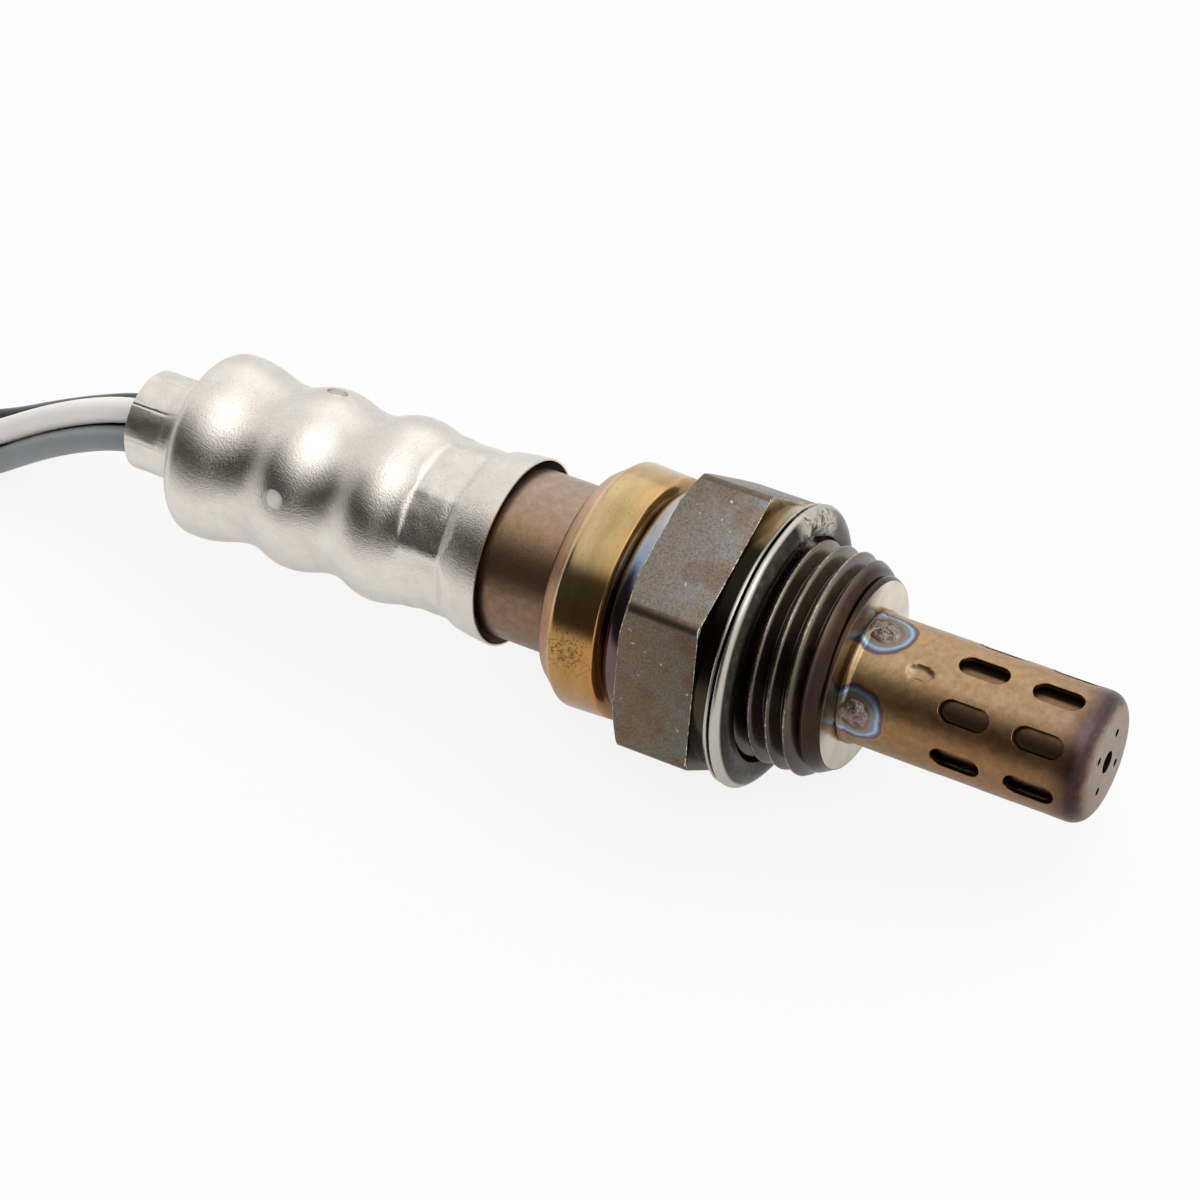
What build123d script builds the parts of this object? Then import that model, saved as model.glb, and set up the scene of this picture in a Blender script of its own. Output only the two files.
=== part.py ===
from build123d import *
import os
from math import cos, radians, sin, tan

# Heated exhaust oxygen sensor with a four-wire pigtail, in millimetres.
# The sensor lies along X with its gas-side tip towards +X, and one hexagon flat faces down.
# The origin is on its axis, at the back end of the full thread.
# The leads leave towards -X and end in a tied hank and a sealed plug on the same surface.

# Clearances
PRESS_GAP = 0.02
SLIP_GAP = 0.06
WIRE_GAP = 0.10

# Screwed body: thread, sealing flange, hexagon, shrunk bead, collar and turned-over rim
THREAD_RADIUS = 9.0
THREAD_LENGTH = 2.75
THREAD_CHAMFER_LENGTH = 2.6
THREAD_END_RADIUS = 7.68
RELIEF_RADIUS = 7.95
RELIEF_LENGTH = 2.6
RELIEF_RUNOUT = 0.5
FLANGE_RADIUS = 10.75
FLANGE_LENGTH = 1.35
HEX_ACROSS_FLATS = 22.0
HEX_CORNER_RADIUS = 12.45
HEX_LENGTH = 6.6
HEX_BACK_BEVEL = 0.5
HEX_FRONT_BEVEL = 0.25
BEAD_ROOT_RADIUS = 9.2
BEAD_HEIGHT = 0.38
BEAD_LENGTH = 2.1
COLLAR_BEVEL_LENGTH = 0.55
COLLAR_LENGTH = 3.75
COLLAR_FRONT_RADIUS = 10.05
COLLAR_BACK_RADIUS = 10.2
RIM_LENGTH = 1.6
RIM_EDGE_RADIUS = 9.0
CAVITY_RADIUS = 8.35
SEAT_RADIUS = 6.8
SEAT_DEPTH = 3.6
BODY_BORE_RADIUS = 4.3
SHIELD_SOCKET_DEPTH = 5.0

# Folded crush gasket
GASKET_RADIUS = 11.4
GASKET_BACK_PLY_RADIUS = 11.3
GASKET_BORE_RADIUS = 9.25
GASKET_FOLD_RADIUS = 9.75
GASKET_FACE_RADIUS = 10.1
GASKET_FRONT_PLY = 1.15
GASKET_SLOPE_LENGTH = 0.8
GASKET_PLY_SPACE = 0.2
GASKET_BACK_PLY = 0.35
GASKET_EDGE_ROUND = 0.12

# Outer protection tube
SHIELD_RADIUS = 5.22
SHIELD_WALL = 0.4
SHIELD_REACH = 20.08
SHIELD_END_ROUND = 1.45
SHIELD_FOOT_RADIUS = 5.42
SHIELD_FOOT_LENGTH = 0.65
SLOT_LENGTH = 4.0
SLOT_WIDTH = 1.85
SLOT_COUNT = 8
SLOT_PHASE = 119.3
SLOT_RING_OFFSETS = (9.935, 15.96)
STAKE_OFFSET = 5.62
STAKE_LENGTH = 2.1
STAKE_RADIUS = 0.55
STAKE_DEPTH = 0.25
STAKE_COUNT = 3
STAKE_PHASE = 97.3
END_HOLE_RADIUS = 0.9
END_PORT_RADIUS = 0.33
END_PORT_CIRCLE = 2.325
END_PORT_COUNT = 4
END_PORT_PHASE = 29.2
WELD_OFFSET = 1.55
WELD_RADIUS = 1.2
WELD_HEIGHT = 0.12
WELD_ANGLES = (68.9, 150.7, 248.9, 330.7)

# Inner protection tube
LINER_RADIUS = 4.45
LINER_WALL = 0.3
LINER_FOOT_LENGTH = 7.0
LINER_END_SPACE = 1.0
LINER_END_ROUND = 0.9
LINER_PORT_OFFSET = 12.95
LINER_PORT_RADIUS = 0.8
LINER_PORT_COUNT = 6
LINER_END_HOLE_RADIUS = 1.2

# Sensing element, its packing and the heater
ELEMENT_REACH = 17.0
ELEMENT_TIP_RADIUS = 2.3
ELEMENT_ROOT_RADIUS = 3.4
ELEMENT_NECK_RADIUS = 3.7
ELEMENT_FLANGE_LENGTH = 3.6
ELEMENT_SHANK_RADIUS = 4.4
ELEMENT_SHANK_SPARE = 1.2
ELEMENT_BORE_RADIUS = 1.75
ELEMENT_TIP_WALL = 1.2
PACKING_THICKNESS = 0.4
TALC_LENGTH = 4.6
BUSHING_LENGTH = 3.2
PRESSURE_RING_THICKNESS = 0.7
HEATER_RADIUS = 1.5
HEATER_TIP_GAP = 0.2
HEATER_SEAT_DEPTH = 3.0

# Inner tube
TUBE_RADIUS = 7.04
TUBE_WALL = 0.5
TUBE_NECKED_RADIUS = 6.33
TUBE_NECKING_START = 24.45
TUBE_NECKING_LENGTH = 1.1
TUBE_END = 47.2
TUBE_VENT_RADIUS = 0.6

# Outer sleeve, with each rib crest and groove given by its place and radius
SLEEVE_WALL = 0.45
LIP_POSITION = 25.1
LIP_RADIUS = 7.88
FLARE_MIDDLE = (27.65, 7.63)
BAND_FRONT = (28.75, 7.38)
BAND_BACK = (32.95, 7.25)
BAND_APOTHEM = 6.86
BAND_PHASE = 97.3
CRIMP_FLAT_COUNT = 9
VENTED_RIB = (44.55, 7.75)
RIBS = ((36.45, 7.83), (40.25, 6.96), VENTED_RIB, (48.15, 6.96), (53.35, 7.89))
RIB_FULLNESS = 0.42
SHOULDER_POSITION = 55.2
SHOULDER_ROUND = 1.4
NECK_FILLET = 2.0
NECK_RADIUS = 4.25
NECK_END = 61.05
NECK_CRIMP_START = 57.75
NECK_APOTHEM = 4.0
NECK_PHASE = 105.3
VENT_SETBACK = 0.35
VENT_RADIUS = 0.87
VENT_COUNT = 4
VENT_PHASE = 136.3

# Parts inside the sleeve
FILTER_LENGTH = 3.4
GROMMET_START = 50.9
GROMMET_FACE = 57.3
HOLDER_RADIUS = 5.25
HOLDER_START = 24.0
HOLDER_LENGTH = 14.5
HOLDER_PASSAGE_RADIUS = 1.15
CONTACT_CIRCLE = 3.0
CLIP_THICKNESS = 0.3
CLIP_LENGTH = 8.0
CLIP_OPENING = 50.0
BLADE_WIDTH = 1.6
BLADE_THICKNESS = 0.4
BLADE_LEAD = 4.0
BLADE_TAIL = 0.4
BARREL_WALL = 0.28
BARREL_LENGTH = 3.6
BARREL_GRIP = 1.5

# Leads, hank and tie
WIRE_RADIUS = 1.1
WIRE_EXIT_CIRCLE = 1.77
LEAD_STRAIGHT = 4.3
LEAD_STRAIGHT_IN = 0.7
TAIL_STRAIGHT = 4.8
TAIL_STRAIGHT_IN = 2.2
BUNDLE_PITCH = 2.3
HANK_SKIN = 0.1
HANK_EAST = 105.0
HANK_WEST = 141.0
HANK_LANE = 10.25
HANK_ENTRY = 104.0
HANK_EXIT = 155.0
HANK_EXIT_SIDE = 2.1
HANK_CROSSING = (129.0, 151.0)
TIE_THICKNESS = 0.5
TIE_WIDTH = 4.0

# Sealed plug
PLUG_BACK = 171.0
PLUG_LENGTH = 34.0
PLUG_WIDTH = 21.0
PLUG_HEIGHT = 17.0
PLUG_WALL = 1.7
PLUG_CORNER = 2.5
PLUG_SOCKET_DEPTH = 15.0
PLUG_PITCH_Y = 6.4
PLUG_PITCH_Z = 5.2
PLUG_COVER_LENGTH = 2.2
PLUG_SEAL_LENGTH = 4.4
PLUG_LOCK_THICKNESS = 1.6
CAVITY_FLOOR = 3.0
PIN_WIDTH = 1.5
PIN_THICKNESS = 0.64
PIN_REACH = 8.0
PIN_BARREL_RADIUS = 1.55
LATCH_LENGTH = 7.0
LATCH_WIDTH = 6.0
LATCH_HEIGHT = 1.8
LATCH_SETBACK = 3.0
KEY_RIB = 1.2

# Stations along the sensor, from the front of the thread to the back of the turned-over rim
thread_front = THREAD_LENGTH + THREAD_CHAMFER_LENGTH
socket_floor = thread_front - SHIELD_SOCKET_DEPTH
flange_face = -RELIEF_LENGTH
hex_front = flange_face - FLANGE_LENGTH
hex_back = hex_front - HEX_LENGTH
bead_back = hex_back - BEAD_LENGTH
collar_front = bead_back - COLLAR_BEVEL_LENGTH
collar_back = collar_front - COLLAR_LENGTH
rim_back = collar_back - RIM_LENGTH
element_front = -SEAT_DEPTH - PACKING_THICKNESS
talc_front = element_front - ELEMENT_FLANGE_LENGTH
bushing_front = talc_front - TALC_LENGTH
tube_foot = bushing_front - BUSHING_LENGTH
ring_front = tube_foot - TUBE_WALL
stack_back = ring_front - PRESSURE_RING_THICKNESS
shield_end = thread_front + SHIELD_REACH
holder_back = -HOLDER_START - HOLDER_LENGTH
vent_station = VENT_SETBACK - VENTED_RIB[0]

# The surface under the part, and the two layers of wire above it
surface = -GASKET_RADIUS
layer_height = BUNDLE_PITCH + 2 * WIRE_RADIUS + HANK_SKIN
hank_bottom = surface + TIE_THICKNESS
hank_middle = hank_bottom + layer_height
hank_top = hank_middle + layer_height
upper_layer = hank_middle + layer_height / 2
plug_height = surface + PLUG_HEIGHT / 2
plug_front = -PLUG_BACK - PLUG_LENGTH
bulkhead_front = plug_front + PLUG_SOCKET_DEPTH
seal_front = -PLUG_BACK - PLUG_COVER_LENGTH
bulkhead_back = seal_front - PLUG_SEAL_LENGTH

# Each lead: its place in the grommet, then its free route from the sleeve to the hank
LEADS = {
    "white": (88.0, [(-70.1, -1.39, -1.61), (-80.8, -4.25, -7.95), (-94.0, -11.4, -7.4)]),
    "grey": (178.0, [(-70.1, -3.22, -3.32), (-81.0, -6.3, -10.2), (-93.0, -11.4, -9.7)]),
    "black_1": (358.0, [(-70.1, 0.32, -3.44), (-80.6, -1.3, -9.4), (-89.0, -4.3, -8.2),
                        (-96.0, -9.1, -7.4)]),
    "black_2": (268.0, [(-70.1, -1.51, -5.15), (-79.3, -3.3, -10.25), (-93.5, -9.1, -9.7)]),
}


def disc(radius, start, end):
    """Solid cylinder along X between two stations."""
    return extrude(Plane.YZ.offset(end) * Circle(radius), start - end)


def washer(outer, inner, start, end):
    """Flat ring along X between two stations, the larger first."""
    return disc(outer, start, end) - disc(inner, start, end)


def turned(*points):
    """Solid of revolution about X from an outline of (station, radius) corners."""
    return revolve(make_face(Polyline(*points, close=True)), Axis.X)


def outward(station, angle):
    """Plane on the axis at a station, facing out at an angle from +Y about +X."""
    direction = (0, cos(radians(angle)), sin(radians(angle)))
    return Plane(origin=(station, 0, 0), x_dir=(1, 0, 0), z_dir=direction)


def around(count, phase):
    """Angles of a ring of equal features."""
    return [phase + 360 * index / count for index in range(count)]


def on_circle(station, radius, angle):
    """Point at a station, off the axis by a radius."""
    return (station, radius * cos(radians(angle)), radius * sin(radians(angle)))


def circles_of(shape, radius):
    """Circular edges of one radius."""
    edges = shape.edges().filter_by(GeomType.CIRCLE)
    return [edge for edge in edges if abs(edge.radius - radius) < 1e-4]


def make_body_shell():
    """Screwed body, one piece from the thread to the rim turned over the inner tube's foot."""
    core = turned(
        (thread_front, 0),
        (thread_front, THREAD_END_RADIUS),
        (THREAD_LENGTH, THREAD_RADIUS),
        (0, THREAD_RADIUS),
        (-RELIEF_RUNOUT, RELIEF_RADIUS),
        (flange_face, RELIEF_RADIUS),
        (flange_face, FLANGE_RADIUS),
        (hex_front, FLANGE_RADIUS),
        (hex_back, FLANGE_RADIUS),
        (hex_back, BEAD_ROOT_RADIUS),
        (bead_back, BEAD_ROOT_RADIUS),
        (collar_front, COLLAR_FRONT_RADIUS),
        (collar_back, COLLAR_BACK_RADIUS),
        (rim_back, RIM_EDGE_RADIUS),
        (rim_back, 0),
    )
    bead_crest = ((hex_back + bead_back) / 2, BEAD_ROOT_RADIUS + BEAD_HEIGHT)
    bead_arc = ThreePointArc((hex_back, BEAD_ROOT_RADIUS), bead_crest, (bead_back, BEAD_ROOT_RADIUS))
    bead = revolve(make_face(bead_arc + Line(bead_arc @ 1, bead_arc @ 0)), Axis.X)
    hexagon = Plane.YZ.offset(hex_back) * RegularPolygon(HEX_ACROSS_FLATS / 2, 6, major_radius=False)
    blank = turned(
        (hex_front, 0),
        (hex_front, HEX_CORNER_RADIUS - 2 * HEX_FRONT_BEVEL),
        (hex_front - HEX_FRONT_BEVEL, HEX_CORNER_RADIUS),
        (hex_back + HEX_BACK_BEVEL, HEX_CORNER_RADIUS),
        (hex_back, HEX_CORNER_RADIUS - 2 * HEX_BACK_BEVEL),
        (hex_back, 0),
    )
    cavity = turned(
        (thread_front + 1, 0),
        (thread_front + 1, SHIELD_RADIUS + PRESS_GAP),
        (socket_floor, SHIELD_RADIUS + PRESS_GAP),
        (socket_floor, BODY_BORE_RADIUS),
        (-SEAT_DEPTH, BODY_BORE_RADIUS),
        (-SEAT_DEPTH, SEAT_RADIUS),
        (talc_front, SEAT_RADIUS),
        (talc_front, CAVITY_RADIUS),
        (stack_back, CAVITY_RADIUS),
        (stack_back, TUBE_RADIUS + SLIP_GAP),
        (rim_back - 1, TUBE_RADIUS + SLIP_GAP),
        (rim_back - 1, 0),
    )
    return core + bead + (extrude(hexagon, HEX_LENGTH) & blank) - cavity


def make_gasket():
    """Crush gasket folded from strip: two plies joined by the fold at the bore."""
    back = flange_face
    back_ply_front = back + GASKET_BACK_PLY
    front_ply_back = back_ply_front + GASKET_PLY_SPACE
    front = front_ply_back + GASKET_FRONT_PLY
    ring = turned(
        (back, GASKET_BORE_RADIUS),
        (back, GASKET_BACK_PLY_RADIUS),
        (back_ply_front, GASKET_BACK_PLY_RADIUS),
        (back_ply_front, GASKET_FOLD_RADIUS),
        (front_ply_back, GASKET_FOLD_RADIUS),
        (front_ply_back, GASKET_RADIUS),
        (front - GASKET_SLOPE_LENGTH, GASKET_RADIUS),
        (front, GASKET_FACE_RADIUS),
        (front, GASKET_BORE_RADIUS),
    )
    return fillet(circles_of(ring, GASKET_RADIUS), GASKET_EDGE_ROUND)


def drawn_cup(outer, wall, start, end, end_round):
    """Deep-drawn round cup, open at its start, with a rounded closed end."""
    outside = disc(outer, end, start)
    inside = disc(outer - wall, end - wall, start)
    outside = fillet(outside.edges().group_by(Axis.X)[-1], end_round)
    inside = fillet(inside.edges().group_by(Axis.X)[-1], end_round - wall)
    return outside - inside


def stake(angle, radius, depth):
    """Rounded bar along X that presses a stake mark into the outer protection tube."""
    height = SHIELD_RADIUS - depth + radius
    ends = [on_circle(thread_front + STAKE_OFFSET + side * (STAKE_LENGTH / 2 - STAKE_RADIUS), height, angle)
            for side in (-1, 1)]
    bar = sweep(Plane(origin=ends[0], z_dir=(1, 0, 0)) * Circle(radius), path=Line(*ends))
    return bar + Pos(*ends[0]) * Sphere(radius) + Pos(*ends[1]) * Sphere(radius)


def make_outer_tube():
    """Outer protection tube: slotted, staked to the inner one and spot-welded at its foot."""
    tube = drawn_cup(SHIELD_RADIUS, SHIELD_WALL, socket_floor, shield_end, SHIELD_END_ROUND)
    foot_end = thread_front + SHIELD_FOOT_LENGTH
    foot = washer(SHIELD_FOOT_RADIUS, SHIELD_RADIUS, foot_end, thread_front)
    tube += fillet(circles_of(foot, SHIELD_FOOT_RADIUS), SHIELD_FOOT_RADIUS - SHIELD_RADIUS - PRESS_GAP)
    weld_skin = washer(SHIELD_RADIUS + WELD_HEIGHT, SHIELD_RADIUS - SHIELD_WALL / 2, shield_end, thread_front)
    for angle in WELD_ANGLES:
        nugget = extrude(outward(thread_front + WELD_OFFSET, angle) * Circle(WELD_RADIUS), THREAD_RADIUS)
        tube += nugget & weld_skin
    inside = disc(SHIELD_RADIUS - SHIELD_WALL / 2, shield_end - SHIELD_END_ROUND, thread_front)
    for angle in around(STAKE_COUNT, STAKE_PHASE):
        tube += stake(angle, STAKE_RADIUS + SHIELD_WALL / 2, STAKE_DEPTH) & inside
        tube -= stake(angle, STAKE_RADIUS, STAKE_DEPTH)
    for offset in SLOT_RING_OFFSETS:
        for angle in around(SLOT_COUNT, SLOT_PHASE):
            slot = outward(thread_front + offset, angle) * SlotOverall(SLOT_LENGTH, SLOT_WIDTH)
            tube -= extrude(slot, THREAD_RADIUS)
    end_plane = Plane.YZ.offset(shield_end - 2 * SHIELD_WALL)
    tube -= extrude(end_plane * Circle(END_HOLE_RADIUS), 4 * SHIELD_WALL)
    for angle in around(END_PORT_COUNT, END_PORT_PHASE):
        port = end_plane * Pos(*on_circle(0, END_PORT_CIRCLE, angle)[1:]) * Circle(END_PORT_RADIUS)
        tube -= extrude(port, 4 * SHIELD_WALL)
    return tube


def make_inner_tube_guard():
    """Inner protection tube, whose wide foot is held inside the outer one."""
    end = shield_end - SHIELD_WALL - LINER_END_SPACE
    foot_radius = SHIELD_RADIUS - SHIELD_WALL - PRESS_GAP
    foot_end = socket_floor + LINER_FOOT_LENGTH
    cup = drawn_cup(LINER_RADIUS, LINER_WALL, foot_end, end, LINER_END_ROUND)
    foot = washer(foot_radius, foot_radius - LINER_WALL, foot_end, socket_floor)
    step = washer(foot_radius, LINER_RADIUS - LINER_WALL, foot_end + LINER_WALL, foot_end)
    guard = cup + foot + step
    for angle in around(LINER_PORT_COUNT, SLOT_PHASE + 180 / SLOT_COUNT):
        port = outward(thread_front + LINER_PORT_OFFSET, angle) * Circle(LINER_PORT_RADIUS)
        guard -= extrude(port, THREAD_RADIUS)
    return guard - disc(LINER_END_HOLE_RADIUS, end + 1, end - 1)


def make_element():
    """Ceramic thimble: flange on the packing ring, tapered sensing end, bore for the heater."""
    tip = thread_front + ELEMENT_REACH
    shank_back = stack_back - ELEMENT_SHANK_SPARE + PRESSURE_RING_THICKNESS
    body = turned(
        (tip, 0),
        (tip, ELEMENT_TIP_RADIUS),
        (thread_front, ELEMENT_ROOT_RADIUS),
        (element_front, ELEMENT_NECK_RADIUS),
        (element_front, SEAT_RADIUS - SLIP_GAP),
        (talc_front, SEAT_RADIUS - SLIP_GAP),
        (talc_front, ELEMENT_SHANK_RADIUS),
        (shank_back, ELEMENT_SHANK_RADIUS),
        (shank_back, 0),
    )
    body = fillet(body.edges().group_by(Axis.X)[-1], ELEMENT_TIP_RADIUS * 0.9)
    bore = disc(ELEMENT_BORE_RADIUS, tip - ELEMENT_TIP_WALL, shank_back)
    bore = fillet(bore.edges().group_by(Axis.X)[-1], ELEMENT_BORE_RADIUS * 0.9)
    return body - bore


def make_heater():
    """Rod heater, seated in the ceramic holder and reaching to the tip of the bore."""
    front = thread_front + ELEMENT_REACH - ELEMENT_TIP_WALL - HEATER_TIP_GAP
    rod = disc(HEATER_RADIUS, front, -HOLDER_START - HEATER_SEAT_DEPTH)
    return fillet(rod.edges().group_by(Axis.X)[-1], HEATER_RADIUS * 0.9)


def make_stem():
    """Inner tube: its foot flange is clamped in the body, its back end is necked for the sleeve."""
    neck_start = -TUBE_NECKING_START
    neck_end = neck_start - TUBE_NECKING_LENGTH
    tube = turned(
        (tube_foot, TUBE_RADIUS - TUBE_WALL),
        (tube_foot, CAVITY_RADIUS - SLIP_GAP),
        (ring_front, CAVITY_RADIUS - SLIP_GAP),
        (ring_front, TUBE_RADIUS),
        (neck_start, TUBE_RADIUS),
        (neck_end, TUBE_NECKED_RADIUS),
        (-TUBE_END, TUBE_NECKED_RADIUS),
        (-TUBE_END, TUBE_NECKED_RADIUS - TUBE_WALL),
        (neck_end, TUBE_NECKED_RADIUS - TUBE_WALL),
        (neck_start, TUBE_RADIUS - TUBE_WALL),
    )
    for angle in around(VENT_COUNT, VENT_PHASE):
        tube -= extrude(outward(vent_station, angle) * Circle(TUBE_VENT_RADIUS), THREAD_RADIUS)
    return tube


def crimp(body, start, end, apothem, phase):
    """Press a band of the sleeve between two stations into flats."""
    band = Plane.YZ.offset(end) * RegularPolygon(apothem, CRIMP_FLAT_COUNT, major_radius=False, rotation=phase)
    outside = disc(2 * apothem, start, end) - extrude(band, start - end)
    return body - outside


def sleeve_body(inset, overrun):
    """Solid within the sleeve's skin, moved in by an inset and run past both open ends."""
    crests = [(-place, radius - inset) for place, radius in RIBS]
    mouth = (-LIP_POSITION, LIP_RADIUS - inset)
    band_front = (-BAND_FRONT[0], BAND_FRONT[1] - inset)
    band_back = (-BAND_BACK[0], BAND_BACK[1] - inset)
    lines = [
        Line((mouth[0] + overrun, 0), (mouth[0] + overrun, mouth[1])),
        Spline(mouth, (-FLARE_MIDDLE[0], FLARE_MIDDLE[1] - inset), band_front),
        Line(band_front, band_back),
    ]
    if overrun:
        lines.insert(1, Line((mouth[0] + overrun, mouth[1]), mouth))
    for (start, low), (end, high) in zip([band_back] + crests, crests):
        reach = (end - start) * RIB_FULLNESS
        lines.append(Bezier((start, low), (start + reach, low), (end - reach, high), (end, high)))
    wall = -SHOULDER_POSITION + inset
    corner = SHOULDER_ROUND - inset
    neck = NECK_RADIUS - inset
    crest = crests[-1]
    back = -NECK_END - overrun
    skirt = FilletPolyline(
        crest, (wall, crest[1]), (wall, neck), (back, neck), radius=(corner, NECK_FILLET + inset)
    )
    lines += [skirt, Line((back, neck), (back, 0)), Line((back, 0), (mouth[0] + overrun, 0))]
    body = revolve(make_face(lines), Axis.X)
    body = crimp(body, -BAND_FRONT[0], -BAND_BACK[0], BAND_APOTHEM - inset, BAND_PHASE)
    return crimp(body, -NECK_CRIMP_START, back, NECK_APOTHEM - inset, NECK_PHASE)


def make_sleeve():
    """Ribbed outer sleeve, drawn in one piece and crimped on the inner tube and the grommet."""
    sleeve = sleeve_body(0, 0) - sleeve_body(SLEEVE_WALL, 1)
    for angle in around(VENT_COUNT, VENT_PHASE):
        sleeve -= extrude(outward(vent_station, angle) * Circle(VENT_RADIUS), THREAD_RADIUS)
    return sleeve


def make_filter():
    """Ring of porous filter strip between the inner tube and the breather holes."""
    front = FILTER_LENGTH / 2 - VENTED_RIB[0]
    strip = washer(THREAD_RADIUS, TUBE_NECKED_RADIUS + PRESS_GAP, front, front - FILTER_LENGTH)
    return sleeve_body(SLEEVE_WALL + PRESS_GAP, 0) & strip


def make_grommet():
    """Rubber grommet that fills the back of the sleeve, with a hole for each lead."""
    plug = sleeve_body(SLEEVE_WALL + PRESS_GAP, 0) & disc(THREAD_RADIUS, -GROMMET_START, -GROMMET_FACE)
    for angle, _ in LEADS.values():
        hole = Plane.YZ.offset(-GROMMET_FACE) * Pos(*on_circle(0, WIRE_EXIT_CIRCLE, angle)[1:])
        plug -= extrude(hole * Circle(WIRE_RADIUS + WIRE_GAP), GROMMET_FACE - GROMMET_START)
    return plug


def make_holder():
    """Ceramic holder that keeps the contacts apart and takes the end of the heater."""
    holder = disc(HOLDER_RADIUS, -HOLDER_START, holder_back)
    holder -= disc(HEATER_RADIUS + SLIP_GAP, -HOLDER_START, -HOLDER_START - HEATER_SEAT_DEPTH)
    for angle, _ in LEADS.values():
        passage = Plane.YZ.offset(holder_back) * Pos(*on_circle(0, CONTACT_CIRCLE, angle)[1:])
        holder -= extrude(passage * Circle(HOLDER_PASSAGE_RADIUS), HOLDER_LENGTH)
    return holder


def make_clip():
    """Spring clip round the holder, open on one side."""
    middle = (holder_back - HOLDER_START) / 2
    inner = HOLDER_RADIUS + PRESS_GAP
    ring = washer(inner + CLIP_THICKNESS, inner, middle + CLIP_LENGTH / 2, middle - CLIP_LENGTH / 2)
    far = 2 * inner
    half_gap = far * tan(radians(CLIP_OPENING / 2))
    wedge = Plane.YZ.offset(middle - CLIP_LENGTH) * make_face(
        Polyline((0, 0), (far, -half_gap), (far, half_gap), close=True)
    )
    return ring - extrude(wedge, 2 * CLIP_LENGTH)


def make_contact(angle):
    """Crimped contact: a flat blade through the holder and a barrel on the lead."""
    front = -HOLDER_START + BLADE_LEAD
    barrel_front = holder_back - BLADE_TAIL
    place = Pos(*on_circle(0, CONTACT_CIRCLE, angle)) * Rot(angle, 0, 0)
    blade = Pos((front + barrel_front) / 2, 0, 0) * Box(front - barrel_front, BLADE_THICKNESS, BLADE_WIDTH)
    barrel_back = barrel_front - BARREL_LENGTH
    barrel = disc(WIRE_RADIUS + BARREL_WALL, barrel_front, barrel_back)
    barrel -= disc(WIRE_RADIUS + PRESS_GAP, barrel_back + BARREL_GRIP, barrel_back)
    return place * (blade + barrel)


def tube_along(name, points):
    """Round wire on straight runs joined by the largest tangent arcs that they take."""
    path_points = [Vector(*point) for point in points]
    radii = []
    for before, corner, after in zip(path_points, path_points[1:], path_points[2:]):
        run_in = corner - before
        run_out = after - corner
        half_turn = radians(run_in.get_angle(run_out) / 2)
        radii.append(0.45 * min(run_in.length, run_out.length) / tan(half_turn))
    path = FilletPolyline(*path_points, radius=radii)
    section = Plane(origin=path @ 0, z_dir=path % 0) * Circle(WIRE_RADIUS)
    tube = sweep(section, path=path)
    expected = section.area * path.length
    rounded = ", ".join(f"{radius:.1f}" for radius in radii)
    print(f"{name}: length {path.length:.1f}, radii {rounded}, volume {tube.volume / expected:.4f}")
    return tube


def bundle_place(name):
    """Sideways and upward place of a lead in the square bundle."""
    side = -1 if name in ("white", "grey") else 1
    level = 1 if name in ("white", "black_1") else -1
    return side, level


def make_lead(name, angle, free_points):
    """Lead from its contact through the grommet, then down and along the surface to the hank."""
    start = holder_back - BLADE_TAIL - BARREL_LENGTH + BARREL_GRIP
    last = free_points[-1]
    points = [
        on_circle(start, CONTACT_CIRCLE, angle),
        on_circle(start - LEAD_STRAIGHT, CONTACT_CIRCLE, angle),
        on_circle(-GROMMET_START + LEAD_STRAIGHT_IN, WIRE_EXIT_CIRCLE, angle),
        on_circle(-NECK_END, WIRE_EXIT_CIRCLE, angle),
        *free_points,
        (-HANK_ENTRY, last[1], last[2]),
    ]
    return tube_along(f"lead_{name}", points)


def make_tail(name):
    """Lead from the hank, spreading to its hole in the back of the plug."""
    side, level = bundle_place(name)
    y_out, z_out = plug_place(name)
    y_in = -HANK_EXIT_SIDE + side * BUNDLE_PITCH / 2
    z_in = upper_layer + level * BUNDLE_PITCH / 2
    points = [
        (-HANK_EXIT, y_in, z_in),
        (-HANK_EXIT - TAIL_STRAIGHT, y_in, z_in),
        (-PLUG_BACK + TAIL_STRAIGHT_IN, y_out, z_out),
        (bulkhead_back, y_out, z_out),
    ]
    return tube_along(f"tail_{name}", points)


def lane_band(path, bottom, top):
    """Flat-sided band as wide as the bundle, along a level path."""
    return Pos(0, 0, bottom) * extrude(trace(path, layer_height), top - bottom)


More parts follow.
